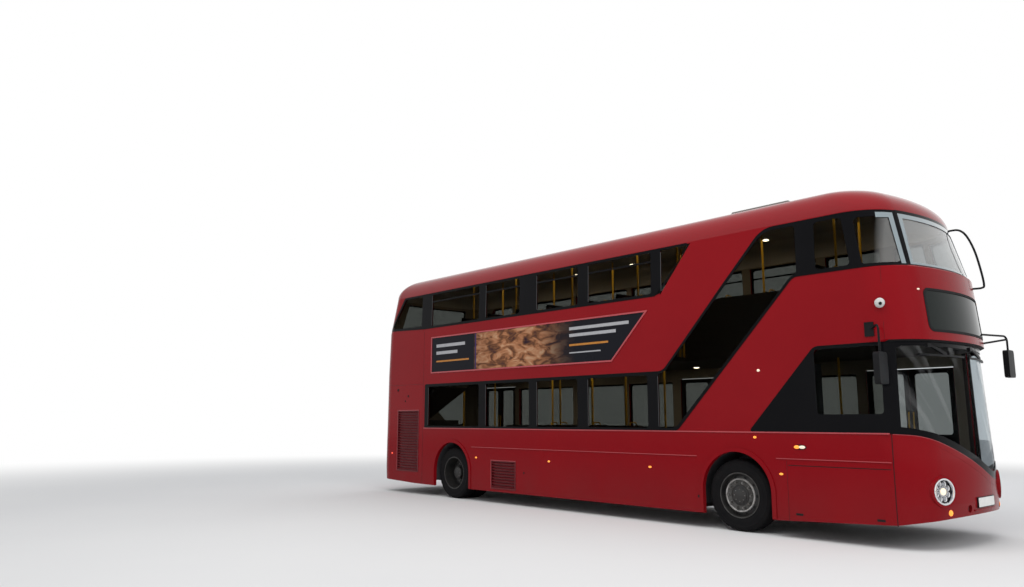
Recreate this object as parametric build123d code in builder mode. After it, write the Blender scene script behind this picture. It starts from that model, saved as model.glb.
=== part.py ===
"""Double deck city bus: body mouldings, decks, stairs, doors, steering front wheels and twin rear wheels.

Units are millimetres. X points to the front of the bus, Y to its kerb side (nearside), Z up.
The origin is on the road, at mid length and mid width.
"""
import math
import os

from build123d import *

os.makedirs("parts", exist_ok=True)

# Body sizes
HALF_WIDTH = 1260
WALL = 55
FRONT_BOW = 3000
FRONT_CORNER = 550
REAR_BOW = 7000
REAR_CORNER = 350
BEYOND = 9000

# Heights above the road
SKIRT = 205
BAND_LOW = 2345
ROOF_EDGE = 3985
ROOF_CROWN = 4345
LOWER_DECK = 360
UPPER_DECK = 2400
DECK_DEPTH = 40
UPPER_DEPTH = 60

# Lengthwise joints between the body mouldings
FRONT_JOINT = 5090
REAR_JOINT = -4040
REAR_SPLIT = 2160

# Running gear
FRONT_AXLE = 3040
REAR_AXLE = -3100
TYRE_RADIUS = 466
TYRE_WIDTH = 275
TYRE_OUTER = 1200
TWIN_GAP = 35
RIM_RADIUS = 292
KINGPIN_Y = 890
RUNNING_GAP = 0.3

# The body's plan at each height: height, nose x, tail x, half width.
# The windscreen stands back under the lip of the band between the decks.
BODY_LEVELS = [
    (SKIRT, 5590, -5590, HALF_WIDTH),
    (500, 5612, -5612, HALF_WIDTH),
    (1000, 5598, -5612, HALF_WIDTH),
    (BAND_LOW, 5535, -5600, HALF_WIDTH),
    (BAND_LOW + 28, 5597, -5600, HALF_WIDTH),
    (3245, 5520, -5560, HALF_WIDTH),
    (3270, 5485, -5555, HALF_WIDTH),
    (ROOF_EDGE, 5285, -5340, 1245),
]

# The roof's curve: share of the rise, share of the inward sweep
ROOF_CURVE = [(0.0, 0.0), (0.38, 0.075), (0.7, 0.286), (0.92, 0.608), (1.0, 1.0)]
ROOF_SWEEP_FRONT = 620
ROOF_SWEEP_REAR = 720
ROOF_SWEEP_SIDE = 330
ROOF_CORNER_SHRINK = 200
ROOF_WALL = 45


def corner_centre(end, bow, corner, half):
    """Distance along X of a corner arc's centre, for an end that bows out to x = end."""
    reach = math.sqrt((bow - corner) ** 2 - (half - corner) ** 2)
    return end - bow + reach


def plan_outline(nose, tail, half, inset=0.0, shrink=0.0):
    """Plan of the body: bowed ends, round corners and straight sides."""
    nose_x = nose - inset
    tail_x = -(tail + inset)
    side = half - inset
    front_r = FRONT_CORNER - inset - shrink
    rear_r = REAR_CORNER - inset - shrink
    ends = []
    for end, bow, corner in ((nose_x, FRONT_BOW - inset, front_r), (tail_x, REAR_BOW - inset, rear_r)):
        centre_x = corner_centre(end, bow, corner, side)
        turn = math.atan2(side - corner, centre_x - end + bow)
        tangent = (end - bow + bow * math.cos(turn), bow * math.sin(turn))
        middle = (turn + math.pi / 2) / 2
        crest = (centre_x + corner * math.cos(middle), side - corner + corner * math.sin(middle))
        ends.append((centre_x, tangent, crest))
    (front_x, front_t, front_m), (rear_x, rear_t, rear_m) = ends
    with BuildLine() as outline:
        ThreePointArc((front_t[0], -front_t[1]), (nose_x, 0), front_t)
        ThreePointArc(front_t, front_m, (front_x, side))
        Line((front_x, side), (-rear_x, side))
        ThreePointArc((-rear_x, side), (-rear_m[0], rear_m[1]), (-rear_t[0], rear_t[1]))
        ThreePointArc((-rear_t[0], rear_t[1]), (-tail_x, 0), (-rear_t[0], -rear_t[1]))
        ThreePointArc((-rear_t[0], -rear_t[1]), (-rear_m[0], -rear_m[1]), (-rear_x, -side))
        Line((-rear_x, -side), (front_x, -side))
        ThreePointArc((front_x, -side), (front_m[0], -front_m[1]), (front_t[0], -front_t[1]))
    return outline.line


def body_block(inset):
    """Solid inside the body's skin from skirt to roof edge, its surface set in by inset."""
    with BuildPart() as block:
        for height, nose, tail, half in BODY_LEVELS:
            with BuildSketch(Plane.XY.offset(height)):
                make_face(plan_outline(nose, tail, half, inset))
        loft(ruled=True)
    return block.part


def roof_block(inset):
    """Solid of the roof above its edge, with a long sweep at both ends."""
    edge, nose, tail, half = BODY_LEVELS[-1]
    with BuildPart() as block:
        for rise, sweep in ROOF_CURVE:
            height = edge + rise * (ROOF_CROWN - edge - inset)
            with BuildSketch(Plane.XY.offset(height)):
                rim = plan_outline(nose - ROOF_SWEEP_FRONT * sweep, tail + ROOF_SWEEP_REAR * sweep,
                                   half - ROOF_SWEEP_SIDE * sweep, inset, ROOF_CORNER_SHRINK * sweep)
                make_face(rim)
        loft()
    return block.part


def prism_on(plane, points, depth, corner):
    """Solid under an outline of points, with one corner radius or a list of them."""
    with BuildPart() as prism:
        with BuildSketch(plane):
            with BuildLine():
                FilletPolyline(*points, radius=corner, close=True)
            make_face()
        extrude(amount=depth)
    return prism.part


def side_prism(points, y_from, y_to, corner=0):
    """Solid with an outline (x, z) in side view, between two places across the bus."""
    return prism_on(Plane.XZ.offset(-y_to), points, y_to - y_from, corner)


def front_prism(points, x_from, x_to, corner=0):
    """Solid with an outline (y, z) in front view, between two places along the bus."""
    return prism_on(Plane.YZ.offset(x_from), points, x_to - x_from, corner)


def rectangle(low_a, high_a, low_b, high_b):
    """Corner points of a rectangle."""
    return [(low_a, low_b), (high_a, low_b), (high_a, high_b), (low_a, high_b)]


def block_between(x_pair, y_pair, z_pair):
    """Plain block between two corners."""
    return side_prism(rectangle(*x_pair, *z_pair), *y_pair)


def arch_prism(x_middle, half, top, y_from, y_to, low=0.0):
    """Wheel arch in side view: upright sides and a round head."""
    spring = top - half
    with BuildPart() as arch:
        with BuildSketch(Plane.XZ.offset(-y_to)):
            with BuildLine():
                Polyline((x_middle - half, spring), (x_middle - half, low), (x_middle + half, low),
                         (x_middle + half, spring))
                ThreePointArc((x_middle + half, spring), (x_middle, top), (x_middle - half, spring))
            make_face()
        extrude(amount=y_to - y_from)
    return arch.part


def both_sides(near, far):
    """The same span across the bus on the offside and on the nearside."""
    return (-far, -near), (near, far)


# Window heights
LOWER_SILL = 1305
LOWER_HEAD = 2130
UPPER_SILL = 3277
UPPER_HEAD = 3965

# Windows of one side: outline in side view, corner radii
FRONT_SIDE_WINDOW = ([(4281, 3265), (4790, 3265), (4690, 3945), (4281, 3945)], 0)
STAIR_WINDOW = (
    [(1780, 1310), (2113, 1310), (4004, 3262), (4081, 3262), (4081, 3955), (3583, 3955), (1892, 2145), (1780, 2145)],
    [0, 200, 150, 0, 0, 380, 200, 0],
)
DRIVER_WINDOW = ([(3283, 1310), (5060, 1310), (5060, 2340), (4280, 2340)], [20, 0, 0, 120])
OFFSIDE_WINDOWS = [
    (rectangle(-3900, -2270, LOWER_SILL, LOWER_HEAD), 0),
    (rectangle(-2140, -920, LOWER_SILL, LOWER_HEAD), 0),
    (rectangle(-795, 222, LOWER_SILL, LOWER_HEAD), 0),
    (rectangle(382, 1640, LOWER_SILL, LOWER_HEAD), 0),
    (rectangle(-3830, -2286, UPPER_SILL, UPPER_HEAD), 0),
    (rectangle(-2152, -1162, UPPER_SILL, UPPER_HEAD), 0),
    (rectangle(-791, 245, UPPER_SILL, UPPER_HEAD), 0),
    (rectangle(414, 1751, UPPER_SILL, UPPER_HEAD), 0),
    ([(1880, UPPER_SILL), (1890, UPPER_SILL), (2440, UPPER_HEAD), (1880, UPPER_HEAD)], 0),
    STAIR_WINDOW,
    DRIVER_WINDOW,
    FRONT_SIDE_WINDOW,
]
NEARSIDE_WINDOWS = [
    (rectangle(-3900, -2270, LOWER_SILL, LOWER_HEAD), 0),
    (rectangle(-2140, -920, LOWER_SILL, LOWER_HEAD), 0),
    (rectangle(-795, 222, LOWER_SILL, LOWER_HEAD), 0),
    (rectangle(1860, 3600, LOWER_SILL, LOWER_HEAD), 0),
    (rectangle(-3830, -2286, UPPER_SILL, UPPER_HEAD), 0),
    (rectangle(-2152, -795, UPPER_SILL, UPPER_HEAD), 0),
    (rectangle(-670, 245, UPPER_SILL, UPPER_HEAD), 0),
    (rectangle(414, 1751, UPPER_SILL, UPPER_HEAD), 0),
    (rectangle(1902, 3080, UPPER_SILL, UPPER_HEAD), 0),
    (rectangle(3230, 4081, UPPER_SILL, UPPER_HEAD), 0),
    FRONT_SIDE_WINDOW,
]

# Windows that turn the corners: at the front of the upper deck and at its rear quarter
CORNER_WINDOW = ([(4880, 3275), (5302, 3275), (5158, 3905), (4780, 3905)], 0)
QUARTER_WINDOW = ([(-5254, 3329), (-4110, 3308), (-4110, 3960), (-4745, 3960)], [60, 0, 0, 60])
CORNER_CUT = 760

# The windscreen's lower edge sweeps down from the cab side to the kerb side (y, z)
WINDSCREEN = [
    (-1300, 1300), (-1120, 1290), (-820, 1165), (-370, 985), (-24, 850), (310, 733), (556, 674), (860, 638),
    (1300, 625), (1300, BAND_LOW), (-1300, BAND_LOW),
]
WINDSCREEN_CORNERS = [0, 150, 900, 2000, 2000, 900, 900, 900, 0, 0, 0]
WINDSCREEN_BACK = 5150
UPPER_FRONT_WINDOW = [(-925, 3280), (925, 3280), (805, 3905), (-805, 3905)]
DESTINATION_WINDOW = rectangle(-850, 850, 2490, 2970)

# Tail windows: the upper one, and the ribbon that follows the stair up from the platform
UPPER_REAR_WINDOW = [(-880, 3330), (880, 3330), (790, 3930), (-790, 3930)]
RIBBON_WINDOW = [(980, 1330), (560, 1330), (-880, 2700), (-880, 3240), (-120, 3240), (980, 2160)]
RIBBON_CORNERS = [50, 90, 90, 50, 150, 150]

# Doorways on the nearside: name, rear edge x, front edge x
DOORWAYS = [("front_door", 3740, 4960), ("middle_door", 400, 1680), ("rear_door", -5060, -4030)]
DOOR_HEAD = 2180
DOOR_SILL = LOWER_DECK - 5

# Wheel arches: axle x, half opening, top
ARCHES = [(FRONT_AXLE, 514, 1034), (REAR_AXLE, 531, 1030)]
ARCH_LIP = 58
LIP_PROUD = 14

# The skirt's lower edge rises to the nose and to the tail (x, z)
NOSE_LIFT = [(3640, 150), (3640, 206), (5090, 272), (5420, 330), (5700, 392), (5700, 150)]
TAIL_LIFT = [(-3700, 150), (-3700, 206), (-4300, 212), (-5340, 250), (-5700, 275), (-5700, 150)]

# Engine lid in the tail: across, up, and the gap round it
LID_Y = (-760, 360)
LID_Z = (430, 1120)
LID_GAP = 6

# Side grilles on the offside: x from, x to, z from, z to, slats
GRILLES = [(-4930, -4170, 430, 1650, 22), (-1950, -1285, 250, 750, 9)]
GRILLE_FRAME = 28

# Round lamps of the nose: y, z, how far their axis turns outwards in degrees, and x of their centre
HEADLAMP = (885, 650, 23, 5462)
HEADLAMP_RADIUS = 150
COWL_RADIUS = 200
COWL_PROUD = 26
INDICATOR = (791, 412, 20, 5486)
INDICATOR_RADIUS = 36

# Towing socket: its place in front view, bore and tube
TOW_AT = (-430, 440)
TOW_RADIUS = 20
TOW_OUTER = 38

# Flat carriers let into the nose and tail for the plates: x from, x to, middle height
PLATE = (530, 120)
PLATE_PLACES = [(5585, 5614, 500), (-5614, -5585, 1250)]


def lamp_plane(lamp, side, proud=0.0):
    """Plane square to a nose lamp's axis, a little outside its centre."""
    y, z, turn, x = lamp
    angle = math.radians(turn)
    facing = (math.cos(angle), side * math.sin(angle), 0)
    return Plane((x + proud * facing[0], side * y + proud * facing[1], z), z_dir=facing)


with BuildPart() as plate_carriers:
    for x_from, x_to, z in PLATE_PLACES:
        add(block_between((x_from, x_to), (-PLATE[0] / 2, PLATE[0] / 2), (z - PLATE[1] / 2, z + PLATE[1] / 2)))
plate_carriers.part.label = "plate_carriers"
export_step(plate_carriers.part, "parts/plate_carriers.step")

# Every opening that is cut through the wall and then glazed: node, prism
openings = []
for outline, corner in OFFSIDE_WINDOWS:
    openings.append(("offside_glass", side_prism(outline, -BEYOND, -900, corner)))
for outline, corner in NEARSIDE_WINDOWS:
    openings.append(("nearside_glass", side_prism(outline, 900, BEYOND, corner)))
for label, (y_from, y_to) in zip(("offside_glass", "nearside_glass"), both_sides(CORNER_CUT, BEYOND)):
    for outline, corner in (CORNER_WINDOW, QUARTER_WINDOW):
        openings.append((label, side_prism(outline, y_from, y_to, corner)))
openings.append(("front_glass", front_prism(WINDSCREEN, WINDSCREEN_BACK, BEYOND, WINDSCREEN_CORNERS)))
openings.append(("front_glass", front_prism(UPPER_FRONT_WINDOW, 5000, BEYOND)))
openings.append(("destination_glass", front_prism(DESTINATION_WINDOW, 5000, BEYOND, 70)))
openings.append(("rear_glass", front_prism(UPPER_REAR_WINDOW, -BEYOND, -5000)))
openings.append(("rear_glass", front_prism(RIBBON_WINDOW, -BEYOND, -5000, RIBBON_CORNERS)))

# Lamp cowls stand proud of the nose; the kerb-side one rises across the windscreen's edge
cowls = []
for side in (-1, 1):
    with BuildPart() as cowl:
        with BuildSketch(lamp_plane(HEADLAMP, side, COWL_PROUD)):
            Circle(HEADLAMP_RADIUS + COWL_PROUD)
        with BuildSketch(lamp_plane(HEADLAMP, side, -60)):
            Circle(COWL_RADIUS)
        loft()
    cowls.append(cowl.part)

# Body shell before it is split into its mouldings
with BuildPart() as shell:
    add(body_block(0))
    for x_middle, half, top in ARCHES:
        for y_pair in both_sides(HALF_WIDTH - 30, HALF_WIDTH + LIP_PROUD):
            add(arch_prism(x_middle, half + ARCH_LIP, top + ARCH_LIP, *y_pair, SKIRT + 8))
    add(body_block(WALL), mode=Mode.SUBTRACT)
    for label, prism in openings:
        add(prism, mode=Mode.SUBTRACT)
    for name, rear_x, front_x in DOORWAYS:
        add(side_prism(rectangle(rear_x, front_x, DOOR_SILL, DOOR_HEAD), 1000, BEYOND), mode=Mode.SUBTRACT)
    for x_middle, half, top in ARCHES:
        add(arch_prism(x_middle, half, top, -BEYOND, BEYOND), mode=Mode.SUBTRACT)
    for outline in (NOSE_LIFT, TAIL_LIFT):
        add(side_prism(outline, -BEYOND, BEYOND), mode=Mode.SUBTRACT)
    for x_from, x_to, z_from, z_to, slats in GRILLES:
        add(block_between((x_from, x_to), (-BEYOND, -900), (z_from, z_to)), mode=Mode.SUBTRACT)
    for side, cowl in zip((-1, 1), cowls):
        add(cowl)
        with BuildSketch(lamp_plane(HEADLAMP, side, -200)):
            Circle(HEADLAMP_RADIUS)
        extrude(amount=400, mode=Mode.SUBTRACT)
        with BuildSketch(lamp_plane(INDICATOR, side, -120)):
            Circle(INDICATOR_RADIUS)
        extrude(amount=240, mode=Mode.SUBTRACT)
    with BuildSketch(Plane.YZ.offset(5300)):
        with Locations(TOW_AT):
            Circle(TOW_OUTER + 6)
    extrude(amount=600, mode=Mode.SUBTRACT)
    add(plate_carriers.part, mode=Mode.SUBTRACT)

# The engine lid is the piece of the tail wall inside its opening
with BuildPart() as engine_lid:
    add(shell.part)
    add(front_prism(rectangle(LID_Y[0] + LID_GAP, LID_Y[1] - LID_GAP, LID_Z[0] + LID_GAP, LID_Z[1] - LID_GAP),
                    -BEYOND, -5000), mode=Mode.INTERSECT)
engine_lid.part.label = "engine_lid"
export_step(engine_lid.part, "parts/engine_lid.step")
with BuildPart() as body_shell:
    add(shell.part)
    add(front_prism(rectangle(*LID_Y, *LID_Z), -BEYOND, -5000), mode=Mode.SUBTRACT)

# Where each moulding lies: name, x from, x to, y from, y to, z from, z to
NOSE_TOP = 1310
MOULDINGS = [
    ("front_nose", FRONT_JOINT, BEYOND, -BEYOND, BEYOND, 0, NOSE_TOP),
    ("front_band", FRONT_JOINT, BEYOND, -BEYOND, BEYOND, NOSE_TOP, ROOF_EDGE),
    ("offside_side", REAR_JOINT, FRONT_JOINT, -BEYOND, 0, 0, ROOF_EDGE),
    ("nearside_side", REAR_JOINT, FRONT_JOINT, 0, BEYOND, 0, ROOF_EDGE),
    ("rear_lower_body", -BEYOND, REAR_JOINT, -BEYOND, BEYOND, 0, REAR_SPLIT),
    ("rear_upper_body", -BEYOND, REAR_JOINT, -BEYOND, BEYOND, REAR_SPLIT, ROOF_EDGE),
]
for label, x_from, x_to, y_from, y_to, z_from, z_to in MOULDINGS:
    with BuildPart() as moulding:
        add(body_shell.part)
        add(block_between((x_from, x_to), (y_from, y_to), (z_from, z_to)), mode=Mode.INTERSECT)
    moulding.part.label = label
    export_step(moulding.part, "parts/" + label + ".step")

with BuildPart() as roof:
    add(roof_block(0))
    add(roof_block(ROOF_WALL), mode=Mode.SUBTRACT)
roof.part.label = "roof"
export_step(roof.part, "parts/roof.step")

# Glass: a thin skin just under the body's surface, cut to each opening
GLASS = 8
GLASS_INSET = 3
with BuildPart() as glass_skin:
    add(body_block(GLASS_INSET))
    add(body_block(GLASS_INSET + GLASS), mode=Mode.SUBTRACT)
    for cowl in cowls:
        add(cowl, mode=Mode.SUBTRACT)
for label in ("offside_glass", "nearside_glass", "front_glass", "destination_glass", "rear_glass"):
    with BuildPart() as glass:
        for node, prism in openings:
            if node == label:
                add(glass_skin.part & prism)
    glass.part.label = label
    export_step(glass.part, "parts/" + label + ".step")

# Side grilles: frames with slats that lean to shed rain
SLAT_DEPTH = 34
SLAT_THICK = 7
with BuildPart() as side_grilles:
    for x_from, x_to, z_from, z_to, slats in GRILLES:
        outer = -HALF_WIDTH - 6
        add(block_between((x_from, x_to), (outer, outer + 46), (z_from, z_to)))
        add(block_between((x_from + GRILLE_FRAME, x_to - GRILLE_FRAME), (outer, outer + 46),
                          (z_from + GRILLE_FRAME, z_to - GRILLE_FRAME)), mode=Mode.SUBTRACT)
        pitch = (z_to - z_from - 2 * GRILLE_FRAME) / slats
        for index in range(slats):
            low = z_from + GRILLE_FRAME + (index + 0.25) * pitch
            slat = [(outer + 3, low), (outer + 3, low + SLAT_THICK), (outer + SLAT_DEPTH, low + SLAT_THICK + 16),
                    (outer + SLAT_DEPTH, low + 16)]
            add(front_prism(slat, x_from + GRILLE_FRAME, x_to - GRILLE_FRAME))
side_grilles.part.label = "side_grilles"
export_step(side_grilles.part, "parts/side_grilles.step")

# Mouldings on the sides: waist strips and the frames round the side boards
STRIP_PROUD = 8
WAIST_Z = (1283, 1299)
# Strips: side, x from, x to, z from, z to
STRIPS = [
    (-1, REAR_JOINT + 30, FRONT_JOINT - 10, *WAIST_Z),
    (-1, REAR_AXLE + 600, FRONT_AXLE - 600, 956, 966),
    (-1, FRONT_AXLE + 600, FRONT_JOINT - 10, 962, 972),
    (1, REAR_JOINT + 30, 390, *WAIST_Z),
    (1, 1690, 3730, *WAIST_Z),
    (1, REAR_AXLE + 600, 390, 956, 966),
]
OFFSIDE_BOARD = [(-3790, 2360), (930, 2340), (1650, 3070), (-3790, 3080)]
NEARSIDE_BOARD = [(-3790, 2360), (1650, 2340), (1650, 3070), (-3790, 3080)]
BOARD_FRAME = 24
with BuildPart() as side_mouldings:
    for side, x_from, x_to, z_from, z_to in STRIPS:
        y_pair = sorted((side * HALF_WIDTH, side * (HALF_WIDTH + STRIP_PROUD)))
        add(block_between((x_from, x_to), y_pair, (z_from, z_to)))
    for side, outline in ((-1, OFFSIDE_BOARD), (1, NEARSIDE_BOARD)):
        with BuildSketch(Plane.XZ.offset(-side * HALF_WIDTH)):
            with BuildLine():
                Polyline(*outline, close=True)
            make_face()
            offset(amount=-BOARD_FRAME, mode=Mode.SUBTRACT)
        extrude(amount=-side * (STRIP_PROUD + 4))
side_mouldings.part.label = "side_mouldings"
export_step(side_mouldings.part, "parts/side_mouldings.step")

# Decks, wheel boxes and the housing over the engine
INNER = HALF_WIDTH - WALL
SHEET = 20
# Wheel boxes: axle x, half length, distance of the inner wall from mid width, top
WHEEL_BOXES = [(FRONT_AXLE, 580, 600, 1040), (REAR_AXLE, 545, 570, 1035)]
ENGINE_ROOM = ((-5000, -4080), (-INNER, -330), (LOWER_DECK, 1450))
STAIR_INNER = -460
FRONT_STAIR = (1720, 3760)
REAR_STAIR = (-5020, -3560)


def deck_plate(low, high):
    """Flat deck that fills the body's plan."""
    with BuildPart() as plate:
        add(body_block(WALL))
        add(block_between((-BEYOND, BEYOND), (-BEYOND, BEYOND), (low, high)), mode=Mode.INTERSECT)
    return plate.part


DECK_UNDER = LOWER_DECK - DECK_DEPTH
engine_x, engine_y, engine_z = ENGINE_ROOM
engine_hollow = block_between((engine_x[0] + SHEET, engine_x[1] - SHEET), (engine_y[0] - SHEET, engine_y[1] - SHEET),
                              (0, engine_z[1] - SHEET))
with BuildPart() as lower_floor:
    add(deck_plate(DECK_UNDER, LOWER_DECK))
    add(side_prism(NOSE_LIFT, -BEYOND, BEYOND), mode=Mode.SUBTRACT)
    for x_middle, half, inner_y, top in WHEEL_BOXES:
        for y_from, y_to in both_sides(inner_y - SHEET, BEYOND):
            add(arch_prism(x_middle, half + SHEET, top + SHEET, y_from, y_to), mode=Mode.SUBTRACT)
    add(engine_hollow, mode=Mode.SUBTRACT)
    add(block_between((5230, 5620), (TOW_AT[0] - 60, TOW_AT[0] + 60), (0, BEYOND)), mode=Mode.SUBTRACT)
lower_floor.part.label = "lower_floor"
export_step(lower_floor.part, "parts/lower_floor.step")

# Wheel boxes: round heads of sheet, closed towards the gangway by flat walls
with BuildPart() as wheel_box_arches:
    for x_middle, half, inner_y, top in WHEEL_BOXES:
        for y_from, y_to in both_sides(inner_y, INNER):
            add(arch_prism(x_middle, half + SHEET, top + SHEET, y_from, y_to, DECK_UNDER))
        add(arch_prism(x_middle, half, top, -BEYOND, BEYOND), mode=Mode.SUBTRACT)
wheel_box_arches.part.label = "wheel_box_arches"
export_step(wheel_box_arches.part, "parts/wheel_box_arches.step")

with BuildPart() as wheel_box_walls:
    for x_middle, half, inner_y, top in WHEEL_BOXES:
        for y_from, y_to in both_sides(inner_y - SHEET, inner_y):
            add(arch_prism(x_middle, half + SHEET, top + SHEET, y_from, y_to, DECK_UNDER))
wheel_box_walls.part.label = "wheel_box_walls"
export_step(wheel_box_walls.part, "parts/wheel_box_walls.step")

# Engine bay: three walls and a lid of sheet, open underneath and to the side
with BuildPart() as engine_bay:
    add(block_between(*ENGINE_ROOM))
    add(engine_hollow, mode=Mode.SUBTRACT)
engine_bay.part.label = "engine_bay"
export_step(engine_bay.part, "parts/engine_bay.step")

with BuildPart() as upper_floor:
    add(deck_plate(UPPER_DECK - UPPER_DEPTH, UPPER_DECK))
    for x_pair in (FRONT_STAIR, (-BEYOND, REAR_STAIR[1])):
        add(block_between(x_pair, (-BEYOND, STAIR_INNER), (0, BEYOND)), mode=Mode.SUBTRACT)
upper_floor.part.label = "upper_floor"
export_step(upper_floor.part, "parts/upper_floor.step")

# Stairs: saw-tooth flights with solid treads
TREAD_THICK = 60
STAIR_OUTER = -1200
GUARD_TOP = UPPER_DECK + 850
LANDING_Z = 1450


def flight(start, end, z_low, z_high, treads):
    """Outline of a straight flight in side view; the treads climb from start to end."""
    run = (end - start) / treads
    rise = (z_high - z_low) / (treads + 1)
    lean = math.copysign(TREAD_THICK * 2, run)
    points = [(start, z_low)]
    for step in range(treads):
        points.append((start + step * run, z_low + (step + 1) * rise))
        points.append((start + (step + 1) * run, z_low + (step + 1) * rise))
    points.append((end, z_high - rise - TREAD_THICK * 3))
    points.append((start + lean, z_low))
    return points


with BuildPart() as front_stair:
    add(side_prism(flight(*FRONT_STAIR, LOWER_DECK, UPPER_DECK, 9), STAIR_OUTER, STAIR_INNER - 40))
    add(block_between(FRONT_STAIR, (STAIR_INNER, STAIR_INNER + SHEET), (UPPER_DECK, GUARD_TOP)))
front_stair.part.label = "front_stair"
export_step(front_stair.part, "parts/front_stair.step")

# The rear stair climbs across the tail to a landing, then turns forward along the offside
REAR_FLIGHT_X = (-5470, -5000)
LANDING_Y = (-980, STAIR_INNER - 40)
with BuildPart() as rear_stair:
    add(front_prism(flight(560, LANDING_Y[1], LOWER_DECK, LANDING_Z, 5), *REAR_FLIGHT_X))
    add(block_between(REAR_FLIGHT_X, LANDING_Y, (LANDING_Z - TREAD_THICK, LANDING_Z)))
    add(block_between(REAR_FLIGHT_X, (LANDING_Y[1] - TREAD_THICK, LANDING_Y[1]), (1100, LANDING_Z)))
    add(side_prism(flight(*REAR_STAIR, LANDING_Z, UPPER_DECK, 6), STAIR_OUTER, STAIR_INNER - 40))
    add(block_between((-5400, REAR_STAIR[1]), (STAIR_INNER, STAIR_INNER + SHEET), (UPPER_DECK, GUARD_TOP)))
rear_stair.part.label = "rear_stair"
export_step(rear_stair.part, "parts/rear_stair.step")

# Seats: side view of one seat, as offsets from its front foot on the deck
SEAT_PROFILE = [
    (-30, 360), (400, 340), (425, 420), (500, 950), (470, 1010), (420, 1000), (360, 470), (0, 470), (-40, 440),
]
SEAT_PAIR = 880
SEAT_POST = ((150, 210), 40, 360)


def seat_row(front_x, y_from, y_to, deck):
    """A double seat that faces the front of the bus, on one post."""
    faced = [(front_x - x, deck + z) for x, z in SEAT_PROFILE]
    post_x, post_half, post_top = SEAT_POST
    middle = (y_from + y_to) / 2
    with BuildPart() as row:
        add(side_prism(faced, y_from, y_to))
        add(block_between((front_x - post_x[1], front_x - post_x[0]), (middle - post_half, middle + post_half),
                          (deck, deck + post_top)))
    return row.part


# Rows of double seats: node, deck height, side (+1 nearside), front edge x of the first row, rows, pitch
SEAT_ROWS = [
    ("lower_seats", LOWER_DECK, 1, -900, 2, 780),
    ("lower_seats", LOWER_DECK, -1, 1180, 4, 780),
    ("upper_seats", UPPER_DECK, 1, 4700, 11, 760),
    ("upper_seats", UPPER_DECK, -1, 1450, 6, 760),
    ("upper_seats", UPPER_DECK, -1, 4700, 1, 760),
]
SEAT_WALL_GAP = 15
for label in ("lower_seats", "upper_seats"):
    with BuildPart() as seats:
        for node, deck, side, first_x, rows, pitch in SEAT_ROWS:
            if node == label:
                y_pair = sorted((side * (INNER - SEAT_WALL_GAP), side * (INNER - SEAT_WALL_GAP - SEAT_PAIR)))
                for row in range(rows):
                    add(seat_row(first_x - row * pitch, y_pair[0], y_pair[1], deck))
    seats.part.label = label
    export_step(seats.part, "parts/" + label + ".step")

# Steering wheel on its column
DRIVER_Y = -720
WHEEL_RIM = (225, 200)
COLUMN_RADIUS = 28
wheel_plane = Plane((4700, DRIVER_Y, 1165), z_dir=(-0.5, 0, 0.87))
with BuildPart() as steering_wheel:
    with BuildSketch(wheel_plane):
        Circle(WHEEL_RIM[0])
        Circle(WHEEL_RIM[1], mode=Mode.SUBTRACT)
        Rectangle(WHEEL_RIM[1] * 2 + 10, 30)
        Rectangle(30, WHEEL_RIM[1] * 2 + 10)
        Circle(COLUMN_RADIUS * 2)
    extrude(amount=25)
    with BuildSketch(wheel_plane):
        Circle(COLUMN_RADIUS)
    extrude(amount=-260)
steering_wheel.part.label = "steering_wheel"
export_step(steering_wheel.part, "parts/steering_wheel.step")

# Cab: dash, bulkhead behind the driver and half-height screen beside them
DASH = [(5330, LOWER_DECK), (5330, 900), (5230, 1050), (4900, 1130), (4780, 1060), (4780, 960), (4980, 900),
        (5000, LOWER_DECK)]
DASH_Y = (-980, -270)
BULKHEAD_X = (3775, 3805)
SCREEN_Y = (-300, -270)
with BuildPart() as cab:
    add(side_prism(DASH, *DASH_Y))
    add(steering_wheel.part, mode=Mode.SUBTRACT)
    add(block_between((5220, 5340), (TOW_AT[0] - 60, TOW_AT[0] + 60), (0, TOW_AT[1] + 60)), mode=Mode.SUBTRACT)
    add(block_between(BULKHEAD_X, (-1190, SCREEN_Y[1]), (LOWER_DECK, 2200)))
    add(block_between((BULKHEAD_X[1], 4700), SCREEN_Y, (LOWER_DECK, 1350)))
cab.part.label = "cab"
export_step(cab.part, "parts/cab.step")

with BuildPart() as driver_seat:
    add(seat_row(4400, DRIVER_Y - 240, DRIVER_Y + 240, LOWER_DECK + 100))
    add(block_between((4100, 4400), (DRIVER_Y - 150, DRIVER_Y + 150), (LOWER_DECK, LOWER_DECK + 460)))
driver_seat.part.label = "driver_seat"
export_step(driver_seat.part, "parts/driver_seat.step")

# Handrails: upright poles from deck to ceiling, x and y of each
POLE_RADIUS = 17
POLE_SIDES = 8
LOWER_POLES = [(1180, -290), (380, -290), (-380, -290), (-1160, -290), (-1940, 290), (-900, 290), (250, 560),
               (1850, 560), (3650, 560), (-3960, -290), (-3960, 560), (3640, -310)]
UPPER_POLES = [(4200, 290), (2680, 290), (1160, 290), (-360, 290), (-1880, 290), (-3400, 290), (4150, -350),
               (690, -290), (-830, -290), (-2350, -290), (1600, -420), (-3500, -420)]
with BuildPart() as handrails:
    for poles, low, high in ((LOWER_POLES, LOWER_DECK, UPPER_DECK - UPPER_DEPTH),
                             (UPPER_POLES, UPPER_DECK, ROOF_CROWN - ROOF_WALL)):
        with BuildSketch(Plane.XY.offset(low)):
            with Locations(*poles):
                RegularPolygon(POLE_RADIUS, POLE_SIDES)
        extrude(amount=high - low)
handrails.part.label = "handrails"
export_step(handrails.part, "parts/handrails.step")

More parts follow.
